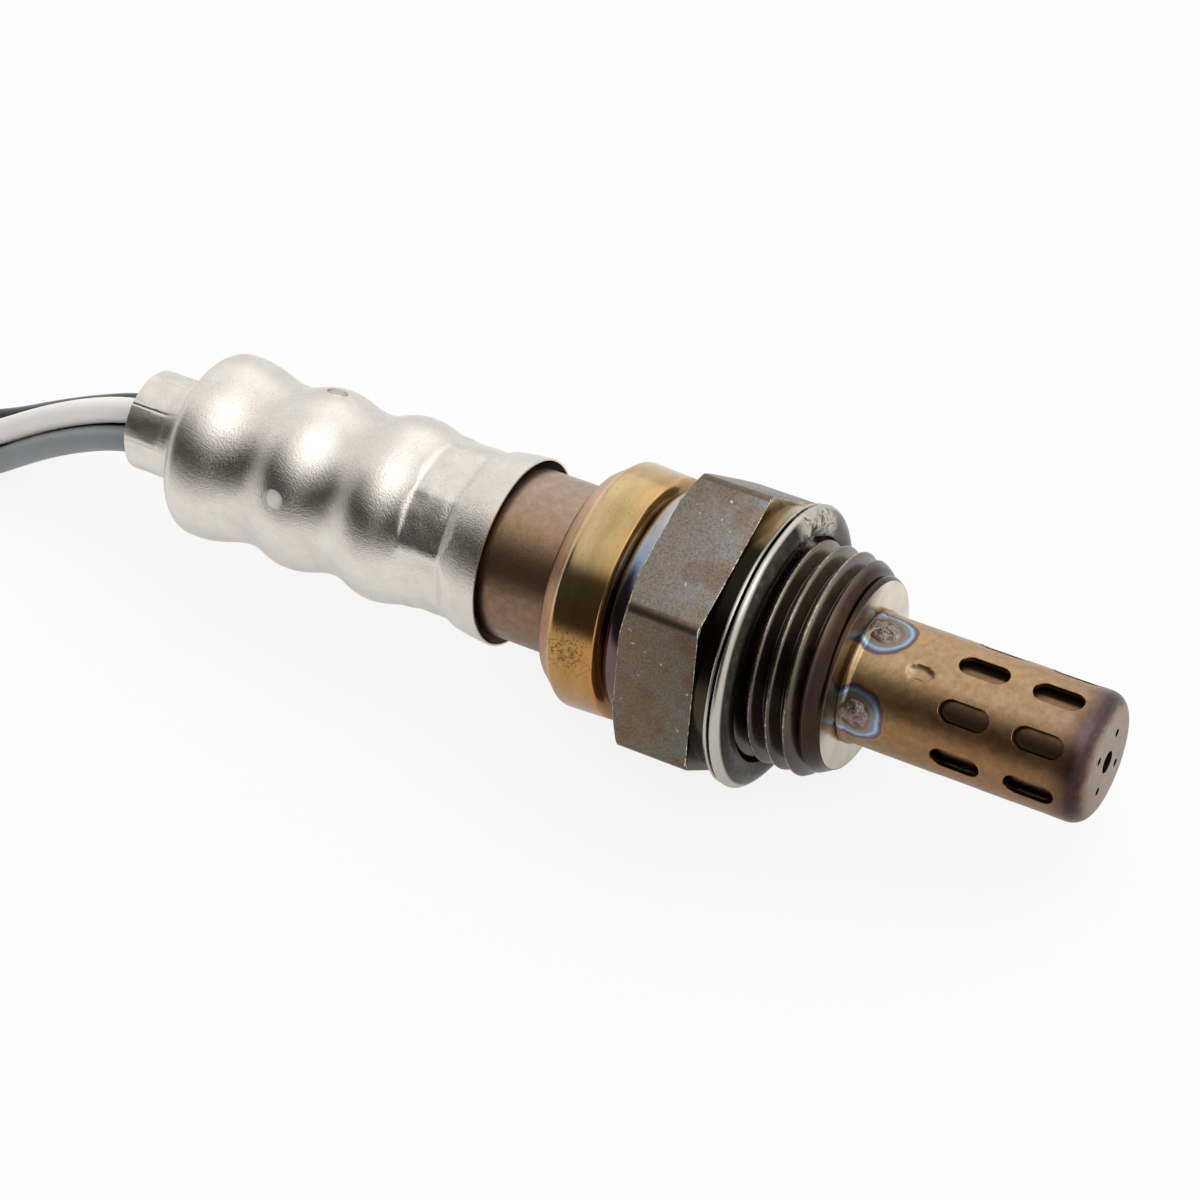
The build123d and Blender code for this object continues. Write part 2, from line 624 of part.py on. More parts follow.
def make_hank():
    """Outer shape of the folded leads: one and a half turns, the last run on top of the first."""
    loop = Line((-HANK_EAST, HANK_LANE), (-HANK_WEST, HANK_LANE))
    loop += ThreePointArc((-HANK_WEST, HANK_LANE), (-HANK_WEST - HANK_LANE, 0), (-HANK_WEST, -HANK_LANE))
    loop += Line((-HANK_WEST, -HANK_LANE), (-HANK_ENTRY, -HANK_LANE))
    fold_middle = (-HANK_EAST + HANK_LANE, 0)
    climb = RadiusArc((-HANK_EAST, HANK_LANE), fold_middle, HANK_LANE)
    over = RadiusArc(fold_middle, (-HANK_EAST, -HANK_LANE), HANK_LANE)
    last_run = over + FilletPolyline(
        (-HANK_EAST, -HANK_LANE),
        (-HANK_CROSSING[0], -HANK_LANE),
        (-HANK_CROSSING[1], -HANK_EXIT_SIDE),
        (-HANK_EXIT, -HANK_EXIT_SIDE),
        radius=(HANK_LANE, HANK_LANE),
    )
    lower = lane_band(loop, hank_bottom, hank_middle)
    upper = lane_band(last_run, hank_middle, hank_top)
    climbing = lane_band(climb, hank_bottom, hank_top)
    slope = (0, layer_height, HANK_LANE)
    ramp_top = Plane(origin=(0, HANK_LANE, hank_middle), z_dir=slope)
    ramp_bottom = Plane(origin=(0, HANK_LANE, hank_bottom), z_dir=slope)
    climbing = split(climbing, bisect_by=ramp_top, keep=Keep.BOTTOM)
    climbing = split(climbing, bisect_by=ramp_bottom, keep=Keep.TOP)
    return lower + climbing + upper


def make_tie():
    """Strap wrapped once round both sides of the hank."""
    half = HANK_LANE + layer_height / 2 + HANK_SKIN
    inner_edge = -HANK_LANE + layer_height / 2
    clear_top = hank_top + HANK_SKIN
    wrap = make_face(Polyline(
        (-half, hank_bottom - HANK_SKIN),
        (half, hank_bottom - HANK_SKIN),
        (half, hank_middle + HANK_SKIN),
        (inner_edge, clear_top),
        (-half, clear_top),
        close=True,
    ))
    strap = offset(wrap, TIE_THICKNESS - HANK_SKIN) - wrap
    station = Plane.YZ.offset(-(HANK_EAST + HANK_CROSSING[0]) / 2 - TIE_WIDTH / 2)
    return extrude(station * strap, TIE_WIDTH)


def plug_place(name):
    """Centre of a lead's hole in the plug."""
    side, level = bundle_place(name)
    return -HANK_EXIT_SIDE + side * PLUG_PITCH_Y / 2, plug_height + level * PLUG_PITCH_Z / 2


def plug_block(margin, start, end):
    """Rounded block on the plug's centre line, smaller than the housing by a margin."""
    section = RectangleRounded(PLUG_WIDTH - 2 * margin, PLUG_HEIGHT - 2 * margin, PLUG_CORNER - margin)
    return extrude(Plane.YZ.offset(end) * Pos(-HANK_EXIT_SIDE, plug_height) * section, start - end)


def plug_holes(radius, start, end):
    """Round bars through the four lead places."""
    holes = []
    for name in LEADS:
        y, z = plug_place(name)
        holes.append(Pos(0, y, z) * disc(radius, start, end))
    return holes


def make_plug_housing():
    """Moulded housing: socket in front, bulkhead with terminal cavities, seal pocket behind."""
    housing = plug_block(0, -PLUG_BACK, plug_front)
    housing -= plug_block(PLUG_WALL, bulkhead_front, plug_front)
    housing -= plug_block(PLUG_WALL, -PLUG_BACK, bulkhead_back)
    cavity_front = bulkhead_front + CAVITY_FLOOR
    housing -= plug_holes(PIN_BARREL_RADIUS + WIRE_GAP, bulkhead_back, cavity_front)
    for name in LEADS:
        y, z = plug_place(name)
        slot = Box(2 * CAVITY_FLOOR, PIN_THICKNESS + 2 * SLIP_GAP, PIN_WIDTH + 2 * SLIP_GAP)
        housing -= Pos(bulkhead_front + CAVITY_FLOOR / 2, y, z) * slot
    top = plug_height + PLUG_HEIGHT / 2
    latch_front = plug_front + LATCH_SETBACK
    ramp = Plane.XZ * make_face(Polyline(
        (latch_front, top - PLUG_WALL / 2),
        (latch_front, top),
        (latch_front + LATCH_LENGTH, top + LATCH_HEIGHT),
        (latch_front + LATCH_LENGTH, top - PLUG_WALL / 2),
        close=True,
    ))
    housing += Pos(0, -HANK_EXIT_SIDE + LATCH_WIDTH / 2, 0) * extrude(ramp, LATCH_WIDTH)
    rib = Box(PLUG_LENGTH / 2, PLUG_WIDTH + 2 * KEY_RIB, KEY_RIB)
    rib -= Box(PLUG_LENGTH, PLUG_WIDTH - PLUG_WALL, 2 * KEY_RIB)
    return housing + Pos(plug_front + PLUG_LENGTH / 2, -HANK_EXIT_SIDE, plug_height) * rib


def make_plug_cover():
    """Cover that keeps the seal in the back of the housing."""
    cover = plug_block(PLUG_WALL + SLIP_GAP, -PLUG_BACK, seal_front)
    return cover - plug_holes(WIRE_RADIUS + WIRE_GAP, -PLUG_BACK, seal_front)


def make_plug_seal():
    """Rubber seal with a hole for each lead."""
    seal = plug_block(PLUG_WALL + PRESS_GAP, seal_front, bulkhead_back)
    return seal - plug_holes(WIRE_RADIUS + PRESS_GAP, seal_front, bulkhead_back)


def make_plug_lock():
    """Plate on the bulkhead that locks the terminals, pierced by the pins."""
    front = bulkhead_front - PLUG_LOCK_THICKNESS
    plate = plug_block(PLUG_WALL + SLIP_GAP, bulkhead_front, front)
    for name in LEADS:
        y, z = plug_place(name)
        slot = Box(4 * PLUG_LOCK_THICKNESS, PIN_THICKNESS + 2 * SLIP_GAP, PIN_WIDTH + 2 * SLIP_GAP)
        plate -= Pos(front, y, z) * slot
    return plate


def make_pin(name):
    """Terminal: a barrel on the lead and a flat pin that stands in the socket."""
    y, z = plug_place(name)
    barrel_front = bulkhead_front + CAVITY_FLOOR
    pin_front = bulkhead_front - PIN_REACH
    barrel = disc(PIN_BARREL_RADIUS, bulkhead_back, barrel_front)
    blade = Pos((barrel_front + pin_front) / 2, 0, 0)
    blade *= Box(barrel_front - pin_front, PIN_THICKNESS, PIN_WIDTH)
    return Pos(0, y, z) * (barrel + blade)


os.makedirs("parts", exist_ok=True)

parts = {
    "body_shell": make_body_shell(),
    "crush_gasket": make_gasket(),
    "outer_protection_tube": make_outer_tube(),
    "inner_protection_tube": make_inner_tube_guard(),
    "sensing_element": make_element(),
    "heater_rod": make_heater(),
    "packing_ring": washer(SEAT_RADIUS - SLIP_GAP, BODY_BORE_RADIUS, -SEAT_DEPTH, element_front),
    "talc_seal": washer(
        CAVITY_RADIUS - PRESS_GAP, ELEMENT_SHANK_RADIUS + PRESS_GAP, talc_front, bushing_front
    ),
    "ceramic_bushing": washer(
        CAVITY_RADIUS - SLIP_GAP, ELEMENT_SHANK_RADIUS + SLIP_GAP, bushing_front, tube_foot
    ),
    "pressure_ring": washer(
        CAVITY_RADIUS - SLIP_GAP, TUBE_RADIUS + SLIP_GAP, ring_front, stack_back
    ),
    "inner_sleeve_tube": make_stem(),
    "outer_sleeve": make_sleeve(),
    "breather_filter": make_filter(),
    "wire_grommet": make_grommet(),
    "contact_holder": make_holder(),
    "holder_clip": make_clip(),
    "lead_hank": make_hank(),
    "hank_tie": make_tie(),
    "plug_housing": make_plug_housing(),
    "plug_rear_cover": make_plug_cover(),
    "plug_wire_seal": make_plug_seal(),
    "plug_terminal_lock": make_plug_lock(),
}
for name, (angle, free_points) in LEADS.items():
    parts[f"contact_{name}"] = make_contact(angle)
    parts[f"lead_{name}"] = make_lead(name, angle, free_points)
    parts[f"tail_{name}"] = make_tail(name)
    parts[f"plug_pin_{name}"] = make_pin(name)

for node, shape in parts.items():
    export_step(shape, f"parts/{node}.step")
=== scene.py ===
from math import atan2, cos, degrees, hypot, pi, radians, sin, tau

import bmesh
import bpy
from mathutils import Matrix, Vector, noise


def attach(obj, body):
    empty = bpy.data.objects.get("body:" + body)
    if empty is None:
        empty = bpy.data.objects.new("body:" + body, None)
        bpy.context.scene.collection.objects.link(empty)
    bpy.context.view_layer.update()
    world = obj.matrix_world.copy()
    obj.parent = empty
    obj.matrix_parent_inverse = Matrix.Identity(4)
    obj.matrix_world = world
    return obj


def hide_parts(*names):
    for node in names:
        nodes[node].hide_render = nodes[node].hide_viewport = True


# Exhaust oxygen sensor on its side. X runs along its axis to the gas-side tip, and Z is up.
# Shapes are worked out in millimetres and turned to metres as each piece is finished.
MM = 0.001

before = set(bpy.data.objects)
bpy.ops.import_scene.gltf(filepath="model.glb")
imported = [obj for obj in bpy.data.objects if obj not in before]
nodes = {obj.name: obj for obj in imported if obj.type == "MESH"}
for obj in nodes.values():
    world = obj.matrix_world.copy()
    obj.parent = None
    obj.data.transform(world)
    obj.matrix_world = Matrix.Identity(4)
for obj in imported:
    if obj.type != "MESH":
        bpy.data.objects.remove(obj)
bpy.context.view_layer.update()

# ---- sizes shared with the solids, in millimetres ------------------------------------------------
FLOOR = -11.4
THREAD_FRONT = 5.35
THREAD_FULL = 3.1
FLANGE_FACE = -2.6
HEX_FRONT = -3.95
HEX_BACK = -10.55
BEAD_BACK = -12.65
COLLAR_FRONT = -13.2
COLLAR_BACK = -16.95
RIM_BACK = -18.55
CREST_RADIUS = 9.0
HEX_REACH = 11.0
GASKET_RADIUS = 11.4
SHIELD_END = 25.43
SHIELD_RADIUS = 5.22
SLEEVE_LIP = -25.1
STEM_SHOULDER = -24.45
BAND = (-28.75, -32.95)
RIBS = ((-36.45, 7.83), (-40.25, 6.96), (-44.55, 7.75), (-48.15, 6.96), (-53.35, 7.89))
SHOULDER = -55.2
NECK_END = -61.05
NECK_CRIMP = -57.75
WIRE_RADIUS = 1.1
# Angles about the axis are in degrees, with 90 up. Before a row of them comes its station, or its radius.
CRIMP_ANGLE = 97.3
NECK_ANGLE = 105.3
VENTS = (-44.2, (136.3, 226.3, 316.3, 46.3))
WELDS = (6.9, (68.9, 150.7, 248.9, 330.7))
STAKES = (10.97, (97.3, 217.3, 337.3))
SLOTS = ((THREAD_FRONT + 9.935, THREAD_FRONT + 15.96), [119.3 + 45 * k for k in range(8)])
END_PORTS = (2.325, [29.2 + 90 * k for k in range(4)])


# ---- camera ---------------------------------------------------------------------------------------
def set_camera():
    """Long lens above the near side, rolled so that the sensor runs down to the right."""
    right = Vector((0.86954, 0.45777, -0.18533))
    up = Vector((-0.31431, 0.80242, 0.50727))
    back = Vector((0.38093, -0.38284, 0.84162))
    data = bpy.data.cameras.new("camera")
    data.sensor_width = 36
    data.lens = 106.25
    data.clip_start = 0.02
    camera = bpy.data.objects.new("camera", data)
    bpy.context.scene.collection.objects.link(camera)
    turn = Matrix((right, up, back)).transposed().to_4x4()
    camera.matrix_world = Matrix.Translation(Vector((89.332, -108.7, 235.379)) * MM) @ turn
    bpy.context.scene.camera = camera


# ---- materials --------------------------------------------------------------------------------------
def linear(code):
    """An sRGB hex colour as linear red, green, blue and alpha."""
    parts = [int(code[i:i + 2], 16) / 255 for i in (1, 3, 5)]
    return (*[p / 12.92 if p <= 0.04045 else ((p + 0.055) / 1.055) ** 2.4 for p in parts], 1)


def add(tree, kind, inputs=(), stops=(), **settings):
    """Add a node with its settings and ramp stops. Each input is a value, or a node or socket to link.

    A MapRange takes 0 its value, 1 and 2 the range it comes from, and 3 and 4 the range it goes to.
    """
    node = tree.nodes.new("ShaderNode" + kind)
    for name, value in settings.items():
        setattr(node, name, value)
    for key, value in dict(inputs).items():
        if isinstance(value, bpy.types.Node):
            value = value.outputs[0]
        if isinstance(value, bpy.types.NodeSocket):
            tree.links.new(value, node.inputs[key])
        else:
            node.inputs[key].default_value = linear(value) if isinstance(value, str) else value
    if stops:
        elements = node.color_ramp.elements
        while len(elements) < len(stops):
            elements.new(0.5)
        for element, (place, value) in zip(elements, stops):
            element.position = place
            element.color = linear(value) if isinstance(value, str) else (value, value, value, 1)
    return node


def new_material(name):
    """A node material with coordinates in millimetres: a pattern's scale is 1 over its grain's size."""
    material = bpy.data.materials.new(name)
    material.use_nodes = True
    tree = material.node_tree
    tree.nodes.clear()
    place = add(tree, "TexCoord")
    spot = add(tree, "VectorMath", {0: place.outputs["Object"], "Scale": 1 / MM}, operation="SCALE")
    return material, tree, spot


def finish_material(material, color, roughness, height, depth_mm, strength, metallic=1.0):
    """Close a material with its shader and a bump, whose full depth is given in millimetres."""
    tree = material.node_tree
    bump = add(tree, "Bump", {"Strength": strength, "Distance": depth_mm * MM, "Height": height})
    shader = add(tree, "BsdfPrincipled", {
        "Base Color": color, "Roughness": roughness, "Metallic": metallic, "Normal": bump,
    })
    add(tree, "OutputMaterial", {"Surface": shader})
    return material


def off_axis(tree, axis):
    """How far a spot is from the sensor's axis, in millimetres."""
    flat = add(tree, "CombineXYZ", {1: axis.outputs["Y"], 2: axis.outputs["Z"]})
    return add(tree, "VectorMath", {0: flat}, operation="LENGTH").outputs["Value"]


def drawn_stainless():
    """Deep-drawn stainless with a tumbled satin skin: warm soft reflections, with grain in the shade."""
    material, tree, spot = new_material("drawn_satin_stainless")
    cloud = add(tree, "TexNoise", {"Vector": spot, "Scale": 0.35, "Detail": 4.0, "Roughness": 0.6})
    grain = add(tree, "TexNoise", {"Vector": spot, "Scale": 6.5, "Detail": 3.0, "Roughness": 0.75})
    color = add(tree, "ValToRGB", {0: cloud}, stops=[(0.3, "#D9D0C6"), (0.7, "#E6DFD6")])
    pits = add(tree, "ValToRGB", {0: grain}, stops=[(0.30, "#8A8378"), (0.42, "#FFFFFF")])
    tone = add(tree, "MixRGB", {0: 0.4, 1: color, 2: pits}, blend_type="MULTIPLY")
    rough = add(tree, "MapRange", {0: cloud, 1: 0.3, 2: 0.7, 3: 0.25, 4: 0.18})
    return finish_material(material, tone, rough, grain, depth_mm=0.06, strength=0.6)


def browned_tube():
    """Stainless tube turned brown by heat: satin, rose-brown, darker on its near side as painted shade, with
    a fine mottle.
    """
    material, tree, spot = new_material("browned_stainless_tube")
    mottle = add(tree, "TexNoise", {"Vector": spot, "Scale": 1.3, "Detail": 5.0, "Roughness": 0.65})
    grain = add(tree, "TexNoise", {"Vector": spot, "Scale": 6.0, "Detail": 2.0})
    color = add(tree, "ValToRGB", {0: mottle}, stops=[(0.3, "#9A8474"), (0.5, "#A8917F"), (0.72, "#B49E8E")])
    axis = add(tree, "SeparateXYZ", {0: spot})
    # Painted shade: the colour is darkened towards the near side.
    side = add(tree, "MapRange", {0: axis.outputs["Y"], 1: -7.0, 2: 7.0})
    painted_near_shade = add(tree, "ValToRGB", {0: side}, stops=[(0.1, "#CBBCB0"), (0.4, "#F0E2CE"), (0.6, "#FFFFFF")])
    tone = add(tree, "MixRGB", {0: 1.0, 1: color, 2: painted_near_shade}, blend_type="MULTIPLY")
    rough = add(tree, "MapRange", {0: mottle, 1: 0.3, 2: 0.7, 3: 0.40, 4: 0.32})
    return finish_material(material, tone, rough, grain, depth_mm=0.03, strength=0.5)


def tempered_collar():
    """Turned steel in temper colours and painted light: rose rim, stained straw collar, groove in painted
    shade, violet to pale bead.
    """
    material, tree, spot = new_material("tempered_collar_steel")
    axis = add(tree, "SeparateXYZ", {0: spot})
    along = add(tree, "MapRange", {0: axis.outputs["X"], 1: RIM_BACK, 2: HEX_BACK})
    cloud = add(tree, "TexNoise", {"Vector": spot, "Scale": 0.5, "Detail": 5.0, "Roughness": 0.6})
    shift = add(tree, "MapRange", {0: cloud, 1: 0.3, 2: 0.7, 3: -0.008, 4: 0.008})
    where = add(tree, "Math", {0: along, 1: shift}, operation="ADD")
    # Temper colours along the axis, with painted light at the edges: the dark line at the rim's back edge,
    # the dark front bevel and the groove are painted shade; the pale lines where the rim meets the collar
    # and at the collar's front edge are painted highlights.
    temper = add(tree, "ValToRGB", {0: where}, stops=[
        (0.0, "#8A6C56"), (0.04, "#BC9478"), (0.15, "#CCA484"), (0.19, "#E4C8A2"), (0.22, "#CBB088"),
        (0.42, "#C4AA7C"), (0.645, "#C6A470"), (0.672, "#D0AA70"), (0.70, "#A8845A"), (0.735, "#8A6A48"),
        (0.750, "#2A201A"),
    ])
    # Painted shade: the collar is darkened on its near side.
    near_side_shade = add(tree, "MapRange", {0: axis.outputs["Y"], 1: -8.0, 2: -5.5, 3: 1.0, 4: 0.0})
    straw = add(tree, "MixRGB", {0: near_side_shade, 1: temper, 2: "#E6CEB2"}, blend_type="MULTIPLY")
    # The bead by side: violet and blue temper, with painted shade on its near side and painted light on its
    # far side.
    side = add(tree, "MapRange", {0: axis.outputs["Y"], 1: -9.5, 2: 9.5})
    bead = add(tree, "ValToRGB", {0: side}, stops=[
        (0.05, "#6A5656"), (0.2, "#6A586C"), (0.34, "#666C7E"), (0.42, "#8896AC"), (0.52, "#A8ACB6"),
        (0.68, "#BAB4B4"), (0.9, "#C2B8AC"),
    ])
    crown = add(tree, "MapRange", {0: where, 1: 0.75, 2: 0.785})
    tinted = add(tree, "MixRGB", {0: crown, 1: straw, 2: bead})
    stain_heart = add(tree, "VectorMath", {0: spot, 1: (-15.5, -8.8, 4.6)}, operation="DISTANCE")
    stain = add(tree, "MapRange", {0: stain_heart.outputs["Value"], 1: 0.8, 2: 3.4, 3: 0.12, 4: 0.0})
    speck = add(tree, "TexNoise", {"Vector": spot, "Scale": 3.6, "Detail": 5.0, "Roughness": 0.75})
    soiled = add(tree, "Math", {0: speck, 1: stain}, operation="SUBTRACT")
    dirt = add(tree, "ValToRGB", {0: soiled}, stops=[(0.29, "#5A4B38"), (0.40, "#FFFFFF")])
    drawn_round = add(tree, "Mapping", {0: spot, "Scale": (0.9, 0.3, 0.3)})
    soft = add(tree, "TexNoise", {"Vector": drawn_round, "Scale": 1.0, "Detail": 4.0})
    bloom = add(tree, "ValToRGB", {0: soft}, stops=[(0.35, "#D8D2BE"), (0.6, "#FFFFFF")])
    clouded = add(tree, "MixRGB", {0: 0.5, 1: tinted, 2: bloom}, blend_type="MULTIPLY")
    tone = add(tree, "MixRGB", {0: 0.75, 1: clouded, 2: dirt}, blend_type="MULTIPLY")
    ground = add(tree, "MapRange", {0: where, 1: 0.17, 2: 0.22, 3: 0.30, 4: 0.17})
    tool_lines = add(tree, "Mapping", {0: spot, "Scale": (9.0, 0.3, 0.3)})
    lathe = add(tree, "TexNoise", {"Vector": tool_lines, "Scale": 1.0, "Detail": 3.0})
    return finish_material(material, tone, ground, lathe, depth_mm=0.008, strength=0.3)


def scaled_hexagon():
    """Milled steel under furnace oxide: grey-brown grain, violet and blue by the front edge, few nicks."""
    material, tree, spot = new_material("scaled_hexagon_steel")
    axis = add(tree, "SeparateXYZ", {0: spot})
    cloud = add(tree, "TexNoise", {"Vector": spot, "Scale": 0.3, "Detail": 5.0, "Roughness": 0.6})
    oxide = add(tree, "ValToRGB", {0: cloud}, stops=[(0.3, "#948B80"), (0.5, "#9A9086"), (0.7, "#8A7D70")])
    tint = add(tree, "ValToRGB", {0: cloud}, stops=[
        (0.32, "#94887A"), (0.42, "#8C9094"), (0.50, "#8E8478"), (0.60, "#84726C"), (0.72, "#84745E"),
    ])
    front = add(tree, "MapRange", {0: axis.outputs["X"], 1: -9.0, 2: -4.5})
    tinted = add(tree, "MixRGB", {0: front, 1: oxide, 2: tint})
    # Painted shade: the faces on the near side are darkened.
    low_side = add(tree, "MapRange", {0: axis.outputs["Y"], 1: -7.2, 2: -5.6, 3: 1.0, 4: 0.0})
    painted_shade = add(tree, "MixRGB", {0: low_side, 1: tinted, 2: "#E6DACA"}, blend_type="MULTIPLY")
    grit = add(tree, "TexNoise", {"Vector": spot, "Scale": 6.5, "Detail": 3.0, "Roughness": 0.8})
    pepper = add(tree, "ValToRGB", {0: grit}, stops=[(0.3, "#6A625A"), (0.5, "#D8D4D0"), (0.7, "#FFFFFF")])
    grained = add(tree, "MixRGB", {0: 0.8, 1: painted_shade, 2: pepper}, blend_type="MULTIPLY")
    nick = add(tree, "TexNoise", {"Vector": spot, "Scale": 1.7, "Detail": 2.0, "Roughness": 0.5})
    bare = add(tree, "ValToRGB", {0: nick}, stops=[(0.72, 0.0), (0.75, 0.7)])
    tone = add(tree, "MixRGB", {0: bare, 1: grained, 2: "#D6CFC4"})
    rough = add(tree, "MapRange", {0: grit, 1: 0.3, 2: 0.7, 3: 0.38, 4: 0.48})
    return finish_material(material, tone, rough, grit, depth_mm=0.04, strength=0.6, metallic=0.9)


def worn_edge():
    """Narrow edges of the hexagon where handling has rubbed the oxide through to bare steel."""
    material, tree, spot = new_material("worn_edge_steel")
    nick = add(tree, "TexNoise", {"Vector": spot, "Scale": 1.5, "Detail": 5.0, "Roughness": 0.8})
    color = add(tree, "ValToRGB", {0: nick}, stops=[(0.42, "#5A4A3C"), (0.50, "#9A8B77"), (0.60, "#E6DED2")])
    return finish_material(material, color, 0.36, nick, depth_mm=0.03, strength=0.5)


def shade_painted_chamfer():
    """Turned front chamfer of the hexagon: smooth and dark olive as painted shade, with a painted reflection
    in tan on its far side.
    """
    material, tree, spot = new_material("shade_painted_chamfer_steel")
    axis = add(tree, "SeparateXYZ", {0: spot})
    film = add(tree, "TexNoise", {"Vector": spot, "Scale": 0.5, "Detail": 3.0})
    patchy = add(tree, "Math", {0: film, 1: 1.5, 2: axis.outputs["Y"]}, operation="MULTIPLY_ADD")
    along = add(tree, "MapRange", {0: patchy, 1: -10.0, 2: 12.0})
    color = add(tree, "ValToRGB", {0: along}, stops=[
        (0.05, "#41382A"), (0.3, "#221E17"), (0.56, "#241F15"), (0.70, "#8A7656"), (0.85, "#B8A488"),
    ])
    return finish_material(material, color, 0.24, film, depth_mm=0.01, strength=0.3)


def scaled_thread():
    """Rolled thread turned brown by heat: brown flanks, violet in places, painted shade on the near side and
    the nose, crests paler from rubbing and a painted glint.
    """
    material, tree, spot = new_material("browned_thread_steel")
    axis = add(tree, "SeparateXYZ", {0: spot})
    radius = off_axis(tree, axis)
    cloud = add(tree, "TexNoise", {"Vector": spot, "Scale": 0.45, "Detail": 5.0, "Roughness": 0.6})
    brown = add(tree, "ValToRGB", {0: cloud}, stops=[
        (0.3, "#635A4D"), (0.5, "#74695B"), (0.62, "#706266"), (0.75, "#6C6252"),
    ])
    # Painted shade: the nose cone and the near side are darkened.
    nose = add(tree, "MapRange", {0: axis.outputs["X"], 1: 3.4, 2: 4.2, 3: 0.0, 4: 1.0})
    low_side = add(tree, "MapRange", {0: axis.outputs["Y"], 1: -9.0, 2: -4.0, 3: 0.7, 4: 0.0})
    shaded = add(tree, "Math", {0: nose, 1: low_side}, operation="MAXIMUM")
    shade_painted_thread = add(tree, "MixRGB", {0: shaded, 1: brown, 2: "#887670"}, blend_type="MULTIPLY")
    rub_and_glint = add(tree, "TexNoise", {"Vector": spot, "Scale": 2.2, "Detail": 5.0, "Roughness": 0.8})
    # Paler crests: partly rubbed steel, partly a painted glint.
    crest = add(tree, "MapRange", {0: radius, 1: CREST_RADIUS - 0.03, 2: CREST_RADIUS - 0.005})
    spread = add(tree, "ValToRGB", {0: rub_and_glint}, stops=[(0.46, 0.1), (0.62, 0.9)])
    bright = add(tree, "Math", {0: crest, 1: spread}, operation="MULTIPLY")
    tone = add(tree, "MixRGB", {0: bright, 1: shade_painted_thread, 2: "#CFC2B2"})
    rough = add(tree, "MapRange", {0: cloud, 1: 0.3, 2: 0.7, 3: 0.20, 4: 0.30})
    return finish_material(material, tone, rough, rub_and_glint, depth_mm=0.02, strength=0.35)


def faced_steel():
    """Faced end of the thread: silver-beige with fine rings, with painted shade between its two upper welds.
    """
    material, tree, spot = new_material("faced_end_steel")
    axis = add(tree, "SeparateXYZ", {0: spot})
    radius = off_axis(tree, axis)
    rings = add(tree, "TexNoise", {"W": radius, "Scale": 9.0, "Detail": 2.0}, noise_dimensions="1D")
    bloom = add(tree, "TexNoise", {"Vector": spot, "Scale": 0.4, "Detail": 4.0})
    color = add(tree, "ValToRGB", {0: bloom}, stops=[(0.35, "#CEC1B0"), (0.65, "#DED4C6")])
    # Painted shade: the upper part of the face is darkened.
    upper = (0, cos(radians(110)), sin(radians(110)))
    height = add(tree, "VectorMath", {0: spot, 1: upper}, operation="DOT_PRODUCT")
    painted_shade = add(tree, "MapRange", {0: height.outputs["Value"], 1: 3.4, 2: 5.6, 3: 0.0, 4: 0.9})
    tone = add(tree, "MixRGB", {0: painted_shade, 1: color, 2: "#6E5F4E"}, blend_type="MULTIPLY")
    return finish_material(material, tone, 0.26, rings, depth_mm=0.01, strength=0.4)


def pressed_gasket():
    """Folded stainless strip, crushed once: bright outer edge, painted shade inside it, and one pale creased
    side.
    """
    material, tree, spot = new_material("crushed_gasket_stainless")
    axis = add(tree, "SeparateXYZ", {0: spot})
    radius = off_axis(tree, axis)
    smear = add(tree, "TexNoise", {"Vector": spot, "Scale": 1.2, "Detail": 5.0, "Roughness": 0.7})
    # Painted shade: the face inside the bright outer edge is coloured dark.
    shaded_face = add(tree, "ValToRGB", {0: smear}, stops=[(0.35, "#29271F"), (0.55, "#37342D"), (0.7, "#4A463F")])
    crease = add(tree, "TexNoise", {
        "Vector": spot, "Scale": 0.9, "Detail": 5.0, "Roughness": 0.7, "Distortion": 1.6,
    })
    # Pale creased steel, whose darkest folds are painted shade.
    folds = add(tree, "ValToRGB", {0: crease}, stops=[
        (0.40, "#302C28"), (0.45, "#8E867A"), (0.5, "#C2B8AA"), (0.75, "#CFC7BB"),
    ])
    heart = add(tree, "VectorMath", {0: spot, 1: (-0.9, 7.4, 7.2)}, operation="DISTANCE")
    creased = add(tree, "MapRange", {0: heart.outputs["Value"], 1: 2.4, 2: 3.8, 3: 1.0, 4: 0.0})
    inner = add(tree, "MixRGB", {0: creased, 1: shaded_face, 2: folds})
    edge = add(tree, "MapRange", {0: radius, 1: GASKET_RADIUS - 0.22, 2: GASKET_RADIUS - 0.06})
    tone = add(tree, "MixRGB", {0: edge, 1: inner, 2: "#BDB6AC"})
    rough = add(tree, "MapRange", {0: smear, 1: 0.3, 2: 0.7, 3: 0.34, 4: 0.24})
    folded = add(tree, "Math", {0: creased, 1: crease}, operation="MULTIPLY")
    return finish_material(material, tone, rough, folded, depth_mm=0.25, strength=0.6)


